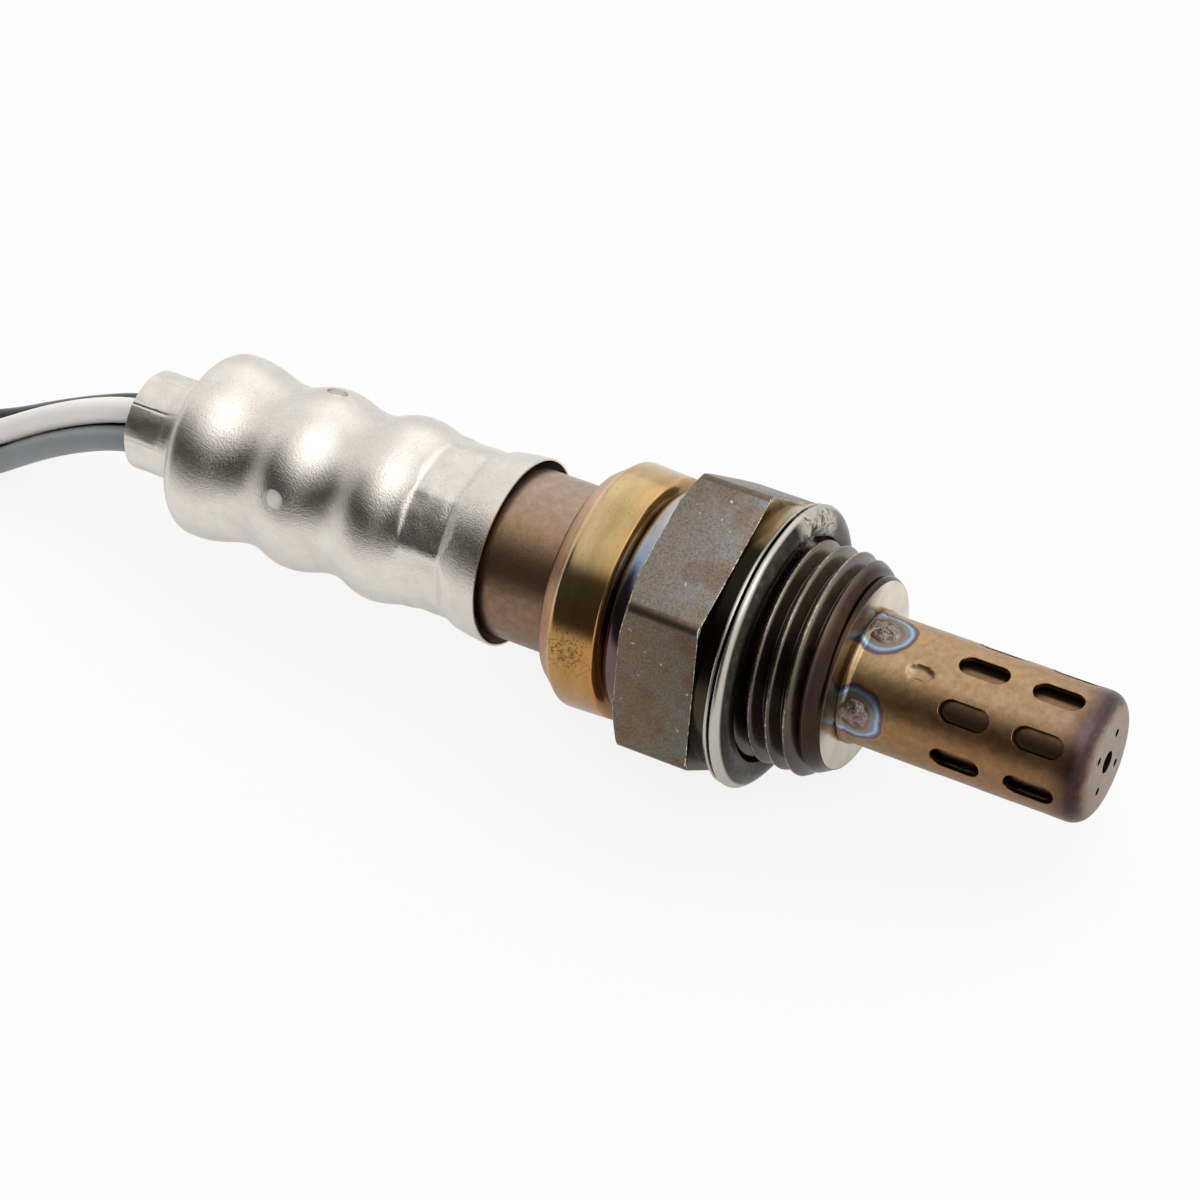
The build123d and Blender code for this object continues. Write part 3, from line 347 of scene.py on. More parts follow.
def bronzed_shield():
    """Stainless gas tube at straw-to-bronze temper, violet at its tip, with blue rings round each weld."""
    material, tree, spot = new_material("bronzed_gas_tube")
    axis = add(tree, "SeparateXYZ", {0: spot})
    along = add(tree, "MapRange", {0: axis.outputs["X"], 1: THREAD_FRONT, 2: SHIELD_END})
    cloud = add(tree, "TexNoise", {"Vector": spot, "Scale": 0.4, "Detail": 5.0, "Roughness": 0.6})
    shift = add(tree, "MapRange", {0: cloud, 1: 0.3, 2: 0.7, 3: -0.005, 4: 0.005})
    where = add(tree, "Math", {0: along, 1: shift}, operation="ADD")
    temper = add(tree, "ValToRGB", {0: where}, stops=[
        (0.0, "#BEA680"), (0.1, "#BC9F78"), (0.3, "#B89874"), (0.6, "#B79674"), (0.86, "#AC8E72"),
        (0.92, "#80685C"), (0.95, "#5C4C50"), (0.975, "#52444A"), (0.988, "#665654"), (0.998, "#9C887A"),
    ])
    # Painted shade: the colour is darkened towards the near side.
    side = add(tree, "MapRange", {0: axis.outputs["Y"], 1: -5.2, 2: 5.2})
    painted_near_shade = add(tree, "ValToRGB", {0: side}, stops=[
        (0.0, "#D2C0AE"), (0.2, "#E4D4C2"), (0.42, "#FFFFFF"), (0.8, "#FFFAF4"),
    ])
    bronze = add(tree, "MixRGB", {0: 1.0, 1: temper, 2: painted_near_shade}, blend_type="MULTIPLY")
    nearest = None
    for angle in WELDS[1]:
        heart = on_circle(WELDS[0], SHIELD_RADIUS, angle)
        gap = add(tree, "VectorMath", {0: spot, 1: heart}, operation="DISTANCE").outputs["Value"]
        nearest = gap if nearest is None else add(tree, "Math", {0: nearest, 1: gap}, operation="MINIMUM")
    ragged = add(tree, "TexNoise", {"Vector": spot, "Scale": 0.7, "Detail": 2.0})
    drift = add(tree, "MapRange", {0: ragged, 1: 0.3, 2: 0.7, 3: -0.12, 4: 0.12})
    reach = add(tree, "Math", {0: nearest, 1: drift}, operation="ADD")
    ring = add(tree, "MapRange", {0: reach, 1: 0.0, 2: 2.6})
    heat = add(tree, "ValToRGB", {0: ring}, stops=[
        (0.0, "#8E6A5A"), (0.14, "#7A6A60"), (0.30, "#77706A"), (0.46, "#6C6258"), (0.56, "#8A7866"),
        (0.66, "#74848F"), (0.74, "#A6B2BA"), (0.81, "#6E84A0"), (0.87, "#5E5474"), (0.93, "#7A5648"),
        (0.98, "#A88560"),
    ])
    inside = add(tree, "MapRange", {0: ring, 1: 0.94, 2: 1.0, 3: 1.0, 4: 0.0})
    film = add(tree, "TexNoise", {"Vector": spot, "Scale": 1.6, "Detail": 5.0, "Roughness": 0.7})
    mottle = add(tree, "ValToRGB", {0: film}, stops=[(0.35, "#D2D2CC"), (0.65, "#FFFFFF")])
    mottled = add(tree, "MixRGB", {0: 0.8, 1: bronze, 2: mottle}, blend_type="MULTIPLY")
    tone = add(tree, "MixRGB", {0: inside, 1: mottled, 2: heat})
    grain = add(tree, "TexNoise", {"Vector": spot, "Scale": 6.0, "Detail": 3.0, "Roughness": 0.7})
    core = add(tree, "MapRange", {0: ring, 1: 0.35, 2: 0.5, 3: 1.0, 4: 0.0})
    crust = add(tree, "TexNoise", {
        "Vector": spot, "Scale": 1.5, "Detail": 4.0, "Roughness": 0.65, "Distortion": 0.8,
    })
    lumps = add(tree, "Math", {0: core, 1: crust}, operation="MULTIPLY")
    height = add(tree, "Math", {0: lumps, 1: 34.0, 2: grain}, operation="MULTIPLY_ADD")
    rough = add(tree, "MapRange", {0: cloud, 1: 0.3, 2: 0.7, 3: 0.32, 4: 0.40})
    slag = add(tree, "ValToRGB", {0: crust}, stops=[
        (0.34, "#2E2824"), (0.46, "#6E6660"), (0.53, "#A8A29C"), (0.58, "#9A5E4A"), (0.66, "#C9C4BE"),
    ])
    seamed = add(tree, "Math", {0: core, 1: 0.75}, operation="MULTIPLY")
    tone = add(tree, "MixRGB", {0: seamed, 1: tone, 2: slag})
    return finish_material(material, tone, rough, height, depth_mm=0.03, strength=0.45)


def plain_finish(name, dark, light, metallic, roughness, size_mm, depth_mm):
    """A finish of two near tones in patches of one size, with a bump of one depth from the same grain."""
    material, tree, spot = new_material(name)
    grain = add(tree, "TexNoise", {"Vector": spot, "Scale": 1 / size_mm, "Detail": 4.0, "Roughness": 0.65})
    color = add(tree, "ValToRGB", {0: grain}, stops=[(0.3, dark), (0.7, light)])
    rough = add(tree, "MapRange", {0: grain, 1: 0.3, 2: 0.7, 3: roughness + 0.05, 4: roughness - 0.05})
    return finish_material(material, color, rough, grain, depth_mm, strength=0.4, metallic=metallic)


# ---- shaping ------------------------------------------------------------------------------------
def on_circle(station, radius, angle):
    """A point off the axis at an angle in degrees."""
    return station, radius * cos(radians(angle)), radius * sin(radians(angle))


def polar(point):
    """Radius and angle in degrees of a point about the axis."""
    return hypot(point.y, point.z), degrees(atan2(point.z, point.y))


def set_radius(vert, radius):
    """Move a vertex straight out or in to a radius."""
    old = hypot(vert.co.y, vert.co.z)
    vert.co.y *= radius / old
    vert.co.z *= radius / old


def arc(center, radius, start, end, steps):
    """Points of an arc in the plane of station and radius, angles in degrees."""
    turn = [radians(start + (end - start) * i / steps) for i in range(steps + 1)]
    return [(center[0] + radius * cos(a), center[1] + radius * sin(a)) for a in turn]


def swell(start, end, steps, fullness=0.42):
    """Points of a smooth rise or fall that is level at both ends."""
    points = []
    reach = (end[0] - start[0]) * fullness
    corners = (start, (start[0] + reach, start[1]), (end[0] - reach, end[1]), end)
    for i in range(steps):
        t = i / steps
        weights = ((1 - t) ** 3, 3 * t * (1 - t) ** 2, 3 * t * t * (1 - t), t ** 3)
        points.append(tuple(sum(w * c[k] for w, c in zip(weights, corners)) for k in (0, 1)))
    return points


def straight(start, end, step):
    """Points along a straight line, a step apart, without the last."""
    count = max(1, round(hypot(end[0] - start[0], end[1] - start[1]) / step))
    return [tuple(s + (e - s) * i / count for s, e in zip(start, end)) for i in range(count)]


def turned(outline, steps=180, phase=0.0, closed=True):
    """Spin an outline of stations and radii about the axis."""
    bm = bmesh.new()
    side = Vector(on_circle(0, 1, phase))
    verts = [bm.verts.new(Vector((x, 0, 0)) + side * r) for x, r in outline]
    pairs = zip(verts, verts[1:] + verts[:1] if closed else verts[1:])
    edges = [bm.edges.new(pair) for pair in pairs]
    bmesh.ops.spin(bm, geom=verts + edges, axis=(1, 0, 0), angle=tau, steps=steps, use_merge=True)
    bmesh.ops.remove_doubles(bm, verts=bm.verts, dist=1e-4)
    bmesh.ops.recalc_face_normals(bm, faces=bm.faces)
    return bm


def parts_of(items, kind):
    """The vertices or edges among what an operator returned."""
    return [item for item in items if isinstance(item, kind)]


def whole(bm):
    """All of a bmesh, for an operator that takes mixed geometry."""
    return [*bm.verts, *bm.edges, *bm.faces]


def face_outwards(bm):
    """Turn an open shell so that its faces point away from the axis."""
    if sum(part.normal.dot(Vector((0, *part.calc_center_median().yz))) for part in bm.faces) < 0:
        bmesh.ops.reverse_faces(bm, faces=bm.faces)


def drill(bm, place, radius, depth, segments):
    """Add a closed rod to a cutter."""
    bmesh.ops.create_cone(bm, cap_ends=True, segments=segments, radius1=radius, radius2=radius, depth=depth,
                          matrix=place)


def put_in_scene(bm, name):
    """Make a bmesh an object of the scene."""
    mesh = bpy.data.meshes.new(name)
    bm.to_mesh(mesh)
    bm.free()
    item = bpy.data.objects.new(name, mesh)
    bpy.context.scene.collection.objects.link(item)
    return item


def finish_piece(bm, name, slot, *materials, replaces=(), sharp=30):
    """Turn a bmesh in millimetres into a piece of the sensor in metres."""
    bmesh.ops.scale(bm, vec=(MM, MM, MM), verts=bm.verts)
    piece = put_in_scene(bm, name)
    for material in materials:
        piece.data.materials.append(material)
    piece.data.shade_smooth()
    piece.data.set_sharp_from_angle(angle=radians(sharp))
    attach(piece, "root")
    if replaces:
        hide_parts(*replaces)


def cut_with(bm, cutter):
    """Cut one closed bmesh out of another with an exact boolean."""
    blank, tool = put_in_scene(bm, "blank"), put_in_scene(cutter, "cutter")
    boolean = blank.modifiers.new("cut", "BOOLEAN")
    boolean.operation = "DIFFERENCE"
    boolean.solver = "EXACT"
    boolean.object = tool
    result = bmesh.new()
    result.from_object(blank, bpy.context.evaluated_depsgraph_get())
    for item in (blank, tool):
        bpy.data.objects.remove(item)
    return result


def press_flats(bm, start, end, apothem, phase, flatness, slope):
    """Press nine crowned flats into the sleeve between two stations, with jaw marks and soft run-outs."""
    width = 360 / 9
    jaw_mark = 0.5
    run_out = 2.4
    for vert in bm.verts:
        radius, angle = polar(vert.co)
        off = (angle - phase - width / 2) % width
        off = min(off, width - off)
        outside = max(end - vert.co.x, vert.co.x - start, 0)
        limit = apothem * (1 + flatness * (1 / cos(radians(off)) - 1)) + outside * slope
        limit += noise.noise(vert.co * 0.8) * 0.05
        if off > width / 2 - jaw_mark:
            limit -= 0.06 + noise.noise(vert.co * 0.5) * 0.05
        if outside < run_out and radius > limit:
            set_radius(vert, limit)


def make_sleeve(material):
    """Ribbed sleeve: flared lip, crimped band, three swells, shoulder, crimped neck and vent holes."""
    flare = [(SLEEVE_LIP, 7.88), (-25.6, 7.86), (-26.2, 7.81), (-26.9, 7.73), (-27.5, 7.64), (-28.0, 7.54),
             (-28.4, 7.46), (BAND[0], 7.38)]
    line = [point for low, high in zip(flare, flare[1:]) for point in straight(low, high, 0.2)]
    line += straight(flare[-1], (BAND[1], 7.25), 0.14)
    knots = [(BAND[1], 7.25)] + list(RIBS)
    for low, high in zip(knots, knots[1:]):
        line += swell(low, high, 18)
    outer_bend, inner_bend = 1.4, 1.9
    line += arc((SHOULDER + outer_bend, RIBS[-1][1] - outer_bend), outer_bend, 90, 180, 9)
    line += arc((SHOULDER - inner_bend, 4.38 + inner_bend), inner_bend, 0, -90, 9)
    line += straight((SHOULDER - 2.1, 4.38), (NECK_END, 4.36), 0.22)[1:] + [(NECK_END, 4.36)]
    bm = turned(line, steps=180, phase=CRIMP_ANGLE, closed=False)
    face_outwards(bm)
    press_flats(bm, BAND[0] - 0.3, BAND[1] + 0.3, apothem=7.03, phase=CRIMP_ANGLE, flatness=0.5, slope=0.5)
    press_flats(bm, NECK_CRIMP, NECK_END - 1, apothem=4.29, phase=NECK_ANGLE, flatness=0.25, slope=0.2)
    bmesh.ops.solidify(bm, geom=bm.faces, thickness=0.45)
    bmesh.ops.recalc_face_normals(bm, faces=bm.faces)
    # The wall gets thinner from the inside towards the lip.
    thinned, by = 1.5, 0.3
    for vert in bm.verts:
        radius = polar(vert.co)[0]
        depth = SLEEVE_LIP - vert.co.x
        if depth < thinned and radius < 7.6:
            set_radius(vert, radius + by * (1 - max(0, depth) / thinned))
    drills = bmesh.new()
    for angle in VENTS[1]:
        turn = Matrix.Rotation(radians(angle - 90), 4, "X")
        drill(drills, turn @ Matrix.Translation((VENTS[0], 0, 7.7)), radius=0.87, depth=2.6, segments=32)
    finish_piece(cut_with(bm, drills), "ribbed_sleeve", "sleeve_steel", material,
                 replaces=["outer_sleeve"])


def make_tube_shoulder(material):
    """Rolled shoulder where the inner tube steps down under the lip of the sleeve."""
    back = STEM_SHOULDER
    line = [(back + at, radius) for at, radius in (
        (0.3, 6.2), (0.3, 7.045), (-0.6, 7.045), (-0.8, 7.02), (-1.0, 6.96), (-1.2, 6.84), (-1.35, 6.66),
        (-1.45, 6.42), (-1.47, 6.2))]
    finish_piece(turned(line), "tube_shoulder", "stem_steel", material, sharp=40)


def make_body_turning(collar, thread, face, shade_painted):
    """Turned parts of the body: rim, collar, groove, bead, flange, core of the thread and its end."""
    rim = [(RIM_BACK, 7.1), (RIM_BACK, 8.7), (RIM_BACK + 0.04, 8.88), (RIM_BACK + 0.14, 8.99)]
    rim += straight((RIM_BACK + 0.3, 9.11), (COLLAR_BACK - 0.2, 9.97), 0.25)
    rim += [(COLLAR_BACK - 0.1, 10.09), (COLLAR_BACK, 10.16), (COLLAR_BACK + 0.15, 10.2)]
    band = straight((COLLAR_BACK + 0.3, 10.2), (COLLAR_FRONT - 0.1, 10.06), 0.4)
    band += [(COLLAR_FRONT - 0.04, 10.05), (COLLAR_FRONT + 0.06, 9.97)]
    band += straight((COLLAR_FRONT + 0.12, 9.88), (BEAD_BACK - 0.1, 9.24), 0.15)
    bead = [(BEAD_BACK + at, radius) for at, radius in (
        (0, 9.12), (0.04, 9.08), (0.08, 9.12), (0.14, 9.26), (0.24, 9.38), (0.4, 9.47), (0.6, 9.53),
        (0.85, 9.56), (1.1, 9.57), (1.35, 9.56), (1.6, 9.53), (1.85, 9.48), (2.1, 9.42))]
    front = [(HEX_BACK + 0.3, 9.3), (HEX_FRONT - 0.3, 9.3), (HEX_FRONT - 0.3, 10.75),
             (FLANGE_FACE - 0.15, 10.75), (FLANGE_FACE, 10.6), (FLANGE_FACE, 8.0), (FLANGE_FACE + 0.1, 7.9)]
    cone = [(3.4, 7.9), (3.6, 7.5), (5.15, 7.5), (THREAD_FRONT - 0.05, 7.66), (THREAD_FRONT, 7.62)]
    bore = [(THREAD_FRONT, 5.3), (THREAD_FRONT - 0.08, 5.24), (0.35, 5.24), (0.35, 4.3), (-16.0, 4.3),
            (-16.0, 7.1)]
    bm = turned(rim + band + bead + front + cone + bore)
    # Where the chamfer's finish of painted shade, the thread's and the faced finish start.
    starts = (HEX_BACK, FLANGE_FACE + 0.01, THREAD_FRONT - 0.06)
    for part in bm.faces:
        station = part.calc_center_median().x
        part.material_index = sum(station > start for start in starts)
    finish_piece(bm, "body_turning", "body_steel", collar, shade_painted, thread, face,
                 replaces=["body_shell"], sharp=35)


def make_hexagon(oxide, worn, shade_painted, corner):
    """Hexagon with softened corners, chamfered by turning at both ends, its edges rubbed round."""
    bm = bmesh.new()
    corner_reach = HEX_REACH / cos(radians(30))
    ring = [bm.verts.new(on_circle(HEX_BACK, corner_reach, angle)) for angle in range(0, 360, 60)]
    grown = bmesh.ops.extrude_face_region(bm, geom=[bm.faces.new(ring)])["geom"]
    bmesh.ops.translate(bm, vec=(HEX_FRONT - HEX_BACK, 0, 0), verts=parts_of(grown, bmesh.types.BMVert))
    bmesh.ops.recalc_face_normals(bm, faces=bm.faces)
    corners = [e for e in bm.edges if abs(e.verts[0].co.x - e.verts[1].co.x) > 1]
    bmesh.ops.bevel(bm, geom=corners, offset=0.5, offset_type="OFFSET", affect="EDGES", segments=3,
                    profile=0.5, material=-1)
    for station, way, radius in ((HEX_BACK, -1, 11.5), (HEX_FRONT, 1, 12.36)):
        for angle in range(0, 360, 6):
            out = Vector(on_circle(0, 1, angle))
            normal = (out * 0.45 + Vector((way * 0.9, 0, 0))).normalized()
            cut = bmesh.ops.bisect_plane(bm, geom=whole(bm), dist=1e-4, plane_no=normal, clear_outer=True,
                                         plane_co=Vector((station, 0, 0)) + out * radius)["geom_cut"]
            edges = parts_of(cut, bmesh.types.BMEdge)
            if edges:
                bmesh.ops.holes_fill(bm, edges=edges, sides=0)
    bmesh.ops.dissolve_degenerate(bm, dist=0.01, edges=bm.edges)
    bmesh.ops.recalc_face_normals(bm, faces=bm.faces)
    bm.normal_update()
    flats = [Vector(on_circle(0, 1, angle)) for angle in range(30, 360, 60)]
    worn_slot, shade_painted_slot, corner_slot = 1, 2, 3
    for part in bm.faces:
        # Faces turned to the front take the chamfer's finish of painted shade.
        if part.normal.x > 0.3:
            part.material_index = shade_painted_slot
        elif abs(part.normal.x) < 0.1 and max(part.normal.dot(flat) for flat in flats) < 0.995:
            part.material_index = corner_slot
    sharp = [e for e in bm.edges if len(e.link_faces) == 2 and e.calc_face_angle() > radians(22)]
    rubbed = bmesh.ops.bevel(bm, geom=sharp, offset=0.08, offset_type="OFFSET", affect="EDGES", segments=2,
                             profile=0.5, material=-1, clamp_overlap=True)["faces"]
    for part in rubbed:
        part.material_index = worn_slot
    finish_piece(bm, "body_hexagon", "body_steel", oxide, worn, shade_painted, corner,
                 replaces=["body_shell"], sharp=40)


def make_thread(material):
    """M18 x 1.5 right-hand thread: a ridge wound forward, cut by lead-in and run-out, closed inside."""
    pitch, turns, per_turn = 1.5, 7, 96
    start = -3.79
    back, front = -2.3, THREAD_FRONT - 0.03
    groove_floor, inner_wall = 7.52, 7.2
    flank = [(0.75, 7.87), (0.68, 8.0), (0.60, 8.14), (0.50, 8.31), (0.27, 8.73), (0.19, 8.88), (0.1, 8.975)]
    ridge = [(-x, r) for x, r in flank] + [(0, CREST_RADIUS)] + flank[::-1]
    bm = bmesh.new()
    verts = [bm.verts.new((start + x, r, 0)) for x, r in ridge]
    edges = [bm.edges.new(pair) for pair in zip(verts, verts[1:])]
    bmesh.ops.spin(bm, geom=verts + edges, axis=(1, 0, 0), dvec=(pitch / per_turn, 0, 0),
                   angle=tau * turns, steps=per_turn * turns)
    bmesh.ops.remove_doubles(bm, verts=bm.verts, dist=1e-4)
    for station, way in ((front, 1), (back, -1)):
        bmesh.ops.bisect_plane(bm, geom=whole(bm), dist=1e-5, plane_co=(station, 0, 0), plane_no=(way, 0, 0),
                               clear_outer=True)
    for vert in bm.verts:
        x, radius = vert.co.x, polar(vert.co)[0]
        lead_in = CREST_RADIUS - max(0, x - THREAD_FULL) * 0.59
        run_out = 7.86 + (x - back) * 2.0
        wander = noise.noise(vert.co * 0.9) * 0.03
        # On the lead-in the groove runs deeper, so that it still shows where the crest is cut away.
        deeper = min(1, max(0, (8.5 - radius) / 0.6))
        deeper *= min(1, max(0, x - 3.4)) * min(1, max(0, (5.2 - x) * 2))
        set_radius(vert, max(groove_floor, min(radius, lead_in, run_out) + min(0, wander) - 0.3 * deeper))
    ends = [edge for edge in bm.edges if edge.is_boundary]
    inner = bmesh.ops.extrude_edge_only(bm, edges=ends)["geom"]
    for vert in parts_of(inner, bmesh.types.BMVert):
        set_radius(vert, inner_wall)
    rims = [edge for edge in parts_of(inner, bmesh.types.BMEdge) if edge.is_boundary]
    bmesh.ops.bridge_loops(bm, edges=rims)
    bmesh.ops.recalc_face_normals(bm, faces=bm.faces)
    finish_piece(bm, "body_thread", "body_steel", material, replaces=["body_shell"], sharp=50)


def make_gasket(material):
    """Crush gasket: two plies of folded strip, the front one rolled in at its mouth, pinched at one side."""
    line = [(-2.6, 9.25), (-2.6, 10.4), (-2.6, 11.12), (-2.56, 11.25), (-2.45, 11.3), (-2.32, 11.26),
            (-2.26, 11.12), (-2.24, 10.4), (-2.2, 9.95), (-2.08, 9.95), (-2.06, 10.6), (-2.05, 11.2),
            (-2.03, 11.33), (-1.95, 11.39), (-1.85, GASKET_RADIUS), (-1.74, 11.37), (-1.6, 11.27),
            (-1.42, 11.08), (-1.26, 10.87), (-1.1, 10.62), (-0.99, 10.38), (-0.92, 10.15), (-0.9, 9.9),
            (-0.92, 9.6), (-0.97, 9.35), (-1.1, 9.15), (-1.3, 9.07), (-1.7, 9.06), (-1.7, 9.25)]
    bm = turned(line, steps=240)
    pinch_angle, pinch_radius = 46, 9.7
    for vert in bm.verts:
        radius, angle = polar(vert.co)
        out = max(0, radius - 9.9) / 1.5
        wave = noise.noise(Vector((cos(radians(angle)) * 2.2, sin(radians(angle)) * 2.2, round(vert.co.x))))
        pinch = max(0, 1 - abs(angle - pinch_angle) / 24) * max(0, 1 - abs(radius - pinch_radius) / 1.2)
        fold = noise.noise(Vector((angle * 0.22, vert.co.x, radius * 0.8)))
        vert.co.x += out * wave * 0.08 + pinch * (fold * 0.5 - 0.1)
        # Crushed a little out of round and off centre.
        vert.co.y += radius / GASKET_RADIUS * (vert.co.y * 0.022 - 0.12)
    finish_piece(bm, "folded_gasket", "gasket_steel", material, replaces=["crush_gasket"])


def slot_cutter(bm, station, angle):
    """Add an obround slot, flared at the skin, to a cutter: a long ring extruded outwards in steps."""
    half, straight_half, segments = 0.925, 1.075, 32
    steps = ((5.10, 0.0), (5.19, 0.05), (5.25, 0.16), (5.6, 0.6))
    place = Matrix.Translation((0, 0, 4.3)) @ Matrix.Rotation(tau / segments / 2, 4, "Z")
    ring = bmesh.ops.create_circle(bm, cap_ends=True, segments=segments, radius=half, matrix=place)["verts"]
    for vert in ring:
        vert.co.x += straight_half if vert.co.x > 0 else -straight_half
    face = ring[0].link_faces[0]
    verts = list(ring)
    width = half
    for height, grow in steps:
        grown = bmesh.ops.extrude_face_region(bm, geom=[face])["geom"]
        if height > steps[0][0]:
            bmesh.ops.delete(bm, geom=[face], context="FACES_ONLY")
        face = next(item for item in grown if isinstance(item, bmesh.types.BMFace))
        for vert in face.verts:
            end = straight_half if vert.co.x > 0 else -straight_half
            vert.co.x = end + (vert.co.x - end) * (half + grow) / width
            vert.co.y *= (half + grow) / width
            vert.co.z = height
        width = half + grow
        verts += face.verts
    turn = Matrix.Rotation(radians(angle - 90), 4, "X") @ Matrix.Translation((station, 0, 0))
    bmesh.ops.transform(bm, matrix=turn, verts=verts)


def make_shield(material, dark_inside):
    """Slotted gas tube: foot bead, weld nuggets, stake marks, slots, rounded end and its ports."""
    nose = 1.45
    fine_to = 12.2
    line = [(0.4, SHIELD_RADIUS), (THREAD_FRONT, SHIELD_RADIUS)]
    line += [(5.42, 5.25), (5.5, 5.36), (5.6, 5.41), (5.72, 5.42), (5.84, 5.40), (5.94, 5.34), (6.02, 5.26)]
    line += straight((6.1, SHIELD_RADIUS), (fine_to, SHIELD_RADIUS), 0.12)
    line += straight((fine_to, SHIELD_RADIUS), (SHIELD_END - nose, SHIELD_RADIUS), 0.35)
    line += arc((SHIELD_END - nose, SHIELD_RADIUS - nose), nose, 90, 0, 12)
    line += [(SHIELD_END, r) for r in (3.3, 2.8, 2.3, 1.8, 1.3, 0.0)]
    bm = turned(line, steps=180, closed=False)
    face_outwards(bm)
    # Each nugget sits a little behind the middle of its heat rings.
    nugget, behind = 1.35, 0.2
    stake_length, stake_width, stake_depth = 1.15, 0.62, 0.25
    for vert in bm.verts:
        radius, angle = polar(vert.co)
        if radius <= 4:
            continue
        for center in WELDS[1]:
            around = radians((angle - center + 180) % 360 - 180) * SHIELD_RADIUS
            near = hypot(vert.co.x - WELDS[0] + behind, around) / nugget
            if near < 1 and vert.co.x > THREAD_FRONT:
                lump = (1 - near * near) * 0.12 + noise.noise(vert.co * 1.9) * 0.07 * (1 - near)
                set_radius(vert, max(radius, SHIELD_RADIUS + lump))
        for center in STAKES[1]:
            around = radians((angle - center + 180) % 360 - 180) * SHIELD_RADIUS
            near = hypot((vert.co.x - STAKES[0]) / stake_length, around / stake_width)
            if near < 1:
                set_radius(vert, SHIELD_RADIUS - stake_depth * (1 - near ** 5))
    bmesh.ops.solidify(bm, geom=bm.faces, thickness=0.4)
    bmesh.ops.recalc_face_normals(bm, faces=bm.faces)
    cutter = bmesh.new()
    for station in SLOTS[0]:
        for angle in SLOTS[1]:
            slot_cutter(cutter, station, angle)
    lie = Matrix.Rotation(radians(90), 4, "Y")
    drill(cutter, Matrix.Translation((SHIELD_END, 0, 0)) @ lie, radius=0.9, depth=3, segments=32)
    for angle in END_PORTS[1]:
        place = Matrix.Translation(on_circle(SHIELD_END, END_PORTS[0], angle)) @ lie
        drill(cutter, place, radius=0.33, depth=3, segments=20)
    bmesh.ops.recalc_face_normals(cutter, faces=cutter.faces)
    bm = cut_with(bm, cutter)
    for part in bm.faces:
        middle = part.calc_center_median()
        radius = polar(middle)[0]
        inside = radius < SHIELD_RADIUS - 0.05 and THREAD_FRONT + 1 < middle.x < SHIELD_END - 1.5
        bored = radius < 3.2 and abs(part.normal.x) < 0.5
        # Inside faces and the walls of slots and ports take the darker finish.
        part.material_index = int(bored or inside and abs(middle.x - STAKES[0]) > 1.6)
    finish_piece(bm, "slotted_gas_tube", "tube_steel", material, dark_inside,
                 replaces=["outer_protection_tube"], sharp=28)


# ---- leads ------------------------------------------------------------------------------------------
# Each lead's place round the grommet, then its free points and its side and level in the square bundle.
LEADS = {
    "white": (88.0, [(-70.1, -1.39, -1.61), (-80.8, -4.25, -7.95), (-94.0, -11.4, -7.4)], -1, 1),
    "grey": (178.0, [(-70.1, -3.22, -3.32), (-81.0, -6.3, -10.2), (-93.0, -11.4, -9.7)], -1, -1),
    "black_1": (358.0, [(-70.1, 0.32, -3.44), (-80.6, -1.3, -9.4), (-89.0, -4.3, -8.2),
                        (-96.0, -9.1, -7.4)], 1, 1),
    "black_2": (268.0, [(-70.1, -1.51, -5.15), (-79.3, -3.3, -10.25), (-93.5, -9.1, -9.7)], 1, -1),
}
GROMMET_PITCH = 1.77
BUNDLE_PITCH = 1.15
HANK_LANE = 10.25
HANK_TURNS = (-141.0, -105.0)


def lead_points(angle, free, side, level):
    """Points of one lead: contact, grommet, free run, hank with its turns worked out by loops, and plug."""
    lane = HANK_LANE - side * BUNDLE_PITCH
    low, high = -8.55 + level * BUNDLE_PITCH, -4.0 + level * BUNDLE_PITCH
    far, near = HANK_TURNS
    points = [on_circle(-41.0, 3.0, angle), on_circle(-45.3, 3.0, angle),
              on_circle(-50.2, GROMMET_PITCH, angle), on_circle(NECK_END, GROMMET_PITCH, angle), *free]
    points += [(-104.0, -lane, low), (-122.0, -lane, low), (-137.0, -lane, low)]
    for i in range(9):
        turn = radians(-90 - 22.5 * i)
        points.append((far + lane * cos(turn), lane * sin(turn), low))
    points += [(-137.0, lane, low), (-122.0, lane, low), (-109.0, lane, low)]
    for i in range(9):
        turn = radians(90 - 22.5 * i)
        points.append((near + lane * cos(turn), lane * sin(turn), low + (high - low) * min(1, i / 4)))
    # Side and height where the lead leaves the hank, and where it enters the plug.
    y_in, y_out, z_out = -2.1 + side * BUNDLE_PITCH, -2.1 + side * 3.2, -2.9 + level * 2.6
    points += [(-109.0, -lane, high), (-120.0, -lane, high), (-129.0, -lane, high), (-151.0, y_in, high),
               (-159.8, y_in, high), (-168.8, y_out, z_out), (-177.6, y_out, z_out)]
    return points


def make_lead(name, material):
    """Insulated lead as one smooth spline with round section."""
    angle, free, side, level = LEADS[name]
    points = lead_points(angle, free, side, level)
    curve = bpy.data.curves.new(f"wire_{name}", "CURVE")
    curve.dimensions = "3D"
    curve.bevel_depth = WIRE_RADIUS * MM
    curve.bevel_resolution = 6
    curve.resolution_u = 10
    curve.use_fill_caps = True
    spline = curve.splines.new("NURBS")
    spline.points.add(len(points) - 1)
    for spot, point in zip(spline.points, points):
        spot.co = (*[c * MM for c in point], 1)
    spline.order_u = 3
    spline.use_endpoint_u = True
    curve.materials.append(material)
    piece = bpy.data.objects.new(f"wire_{name}", curve)
    bpy.context.scene.collection.objects.link(piece)
    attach(piece, "root")
    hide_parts(f"lead_{name}", f"tail_{name}", "lead_hank")


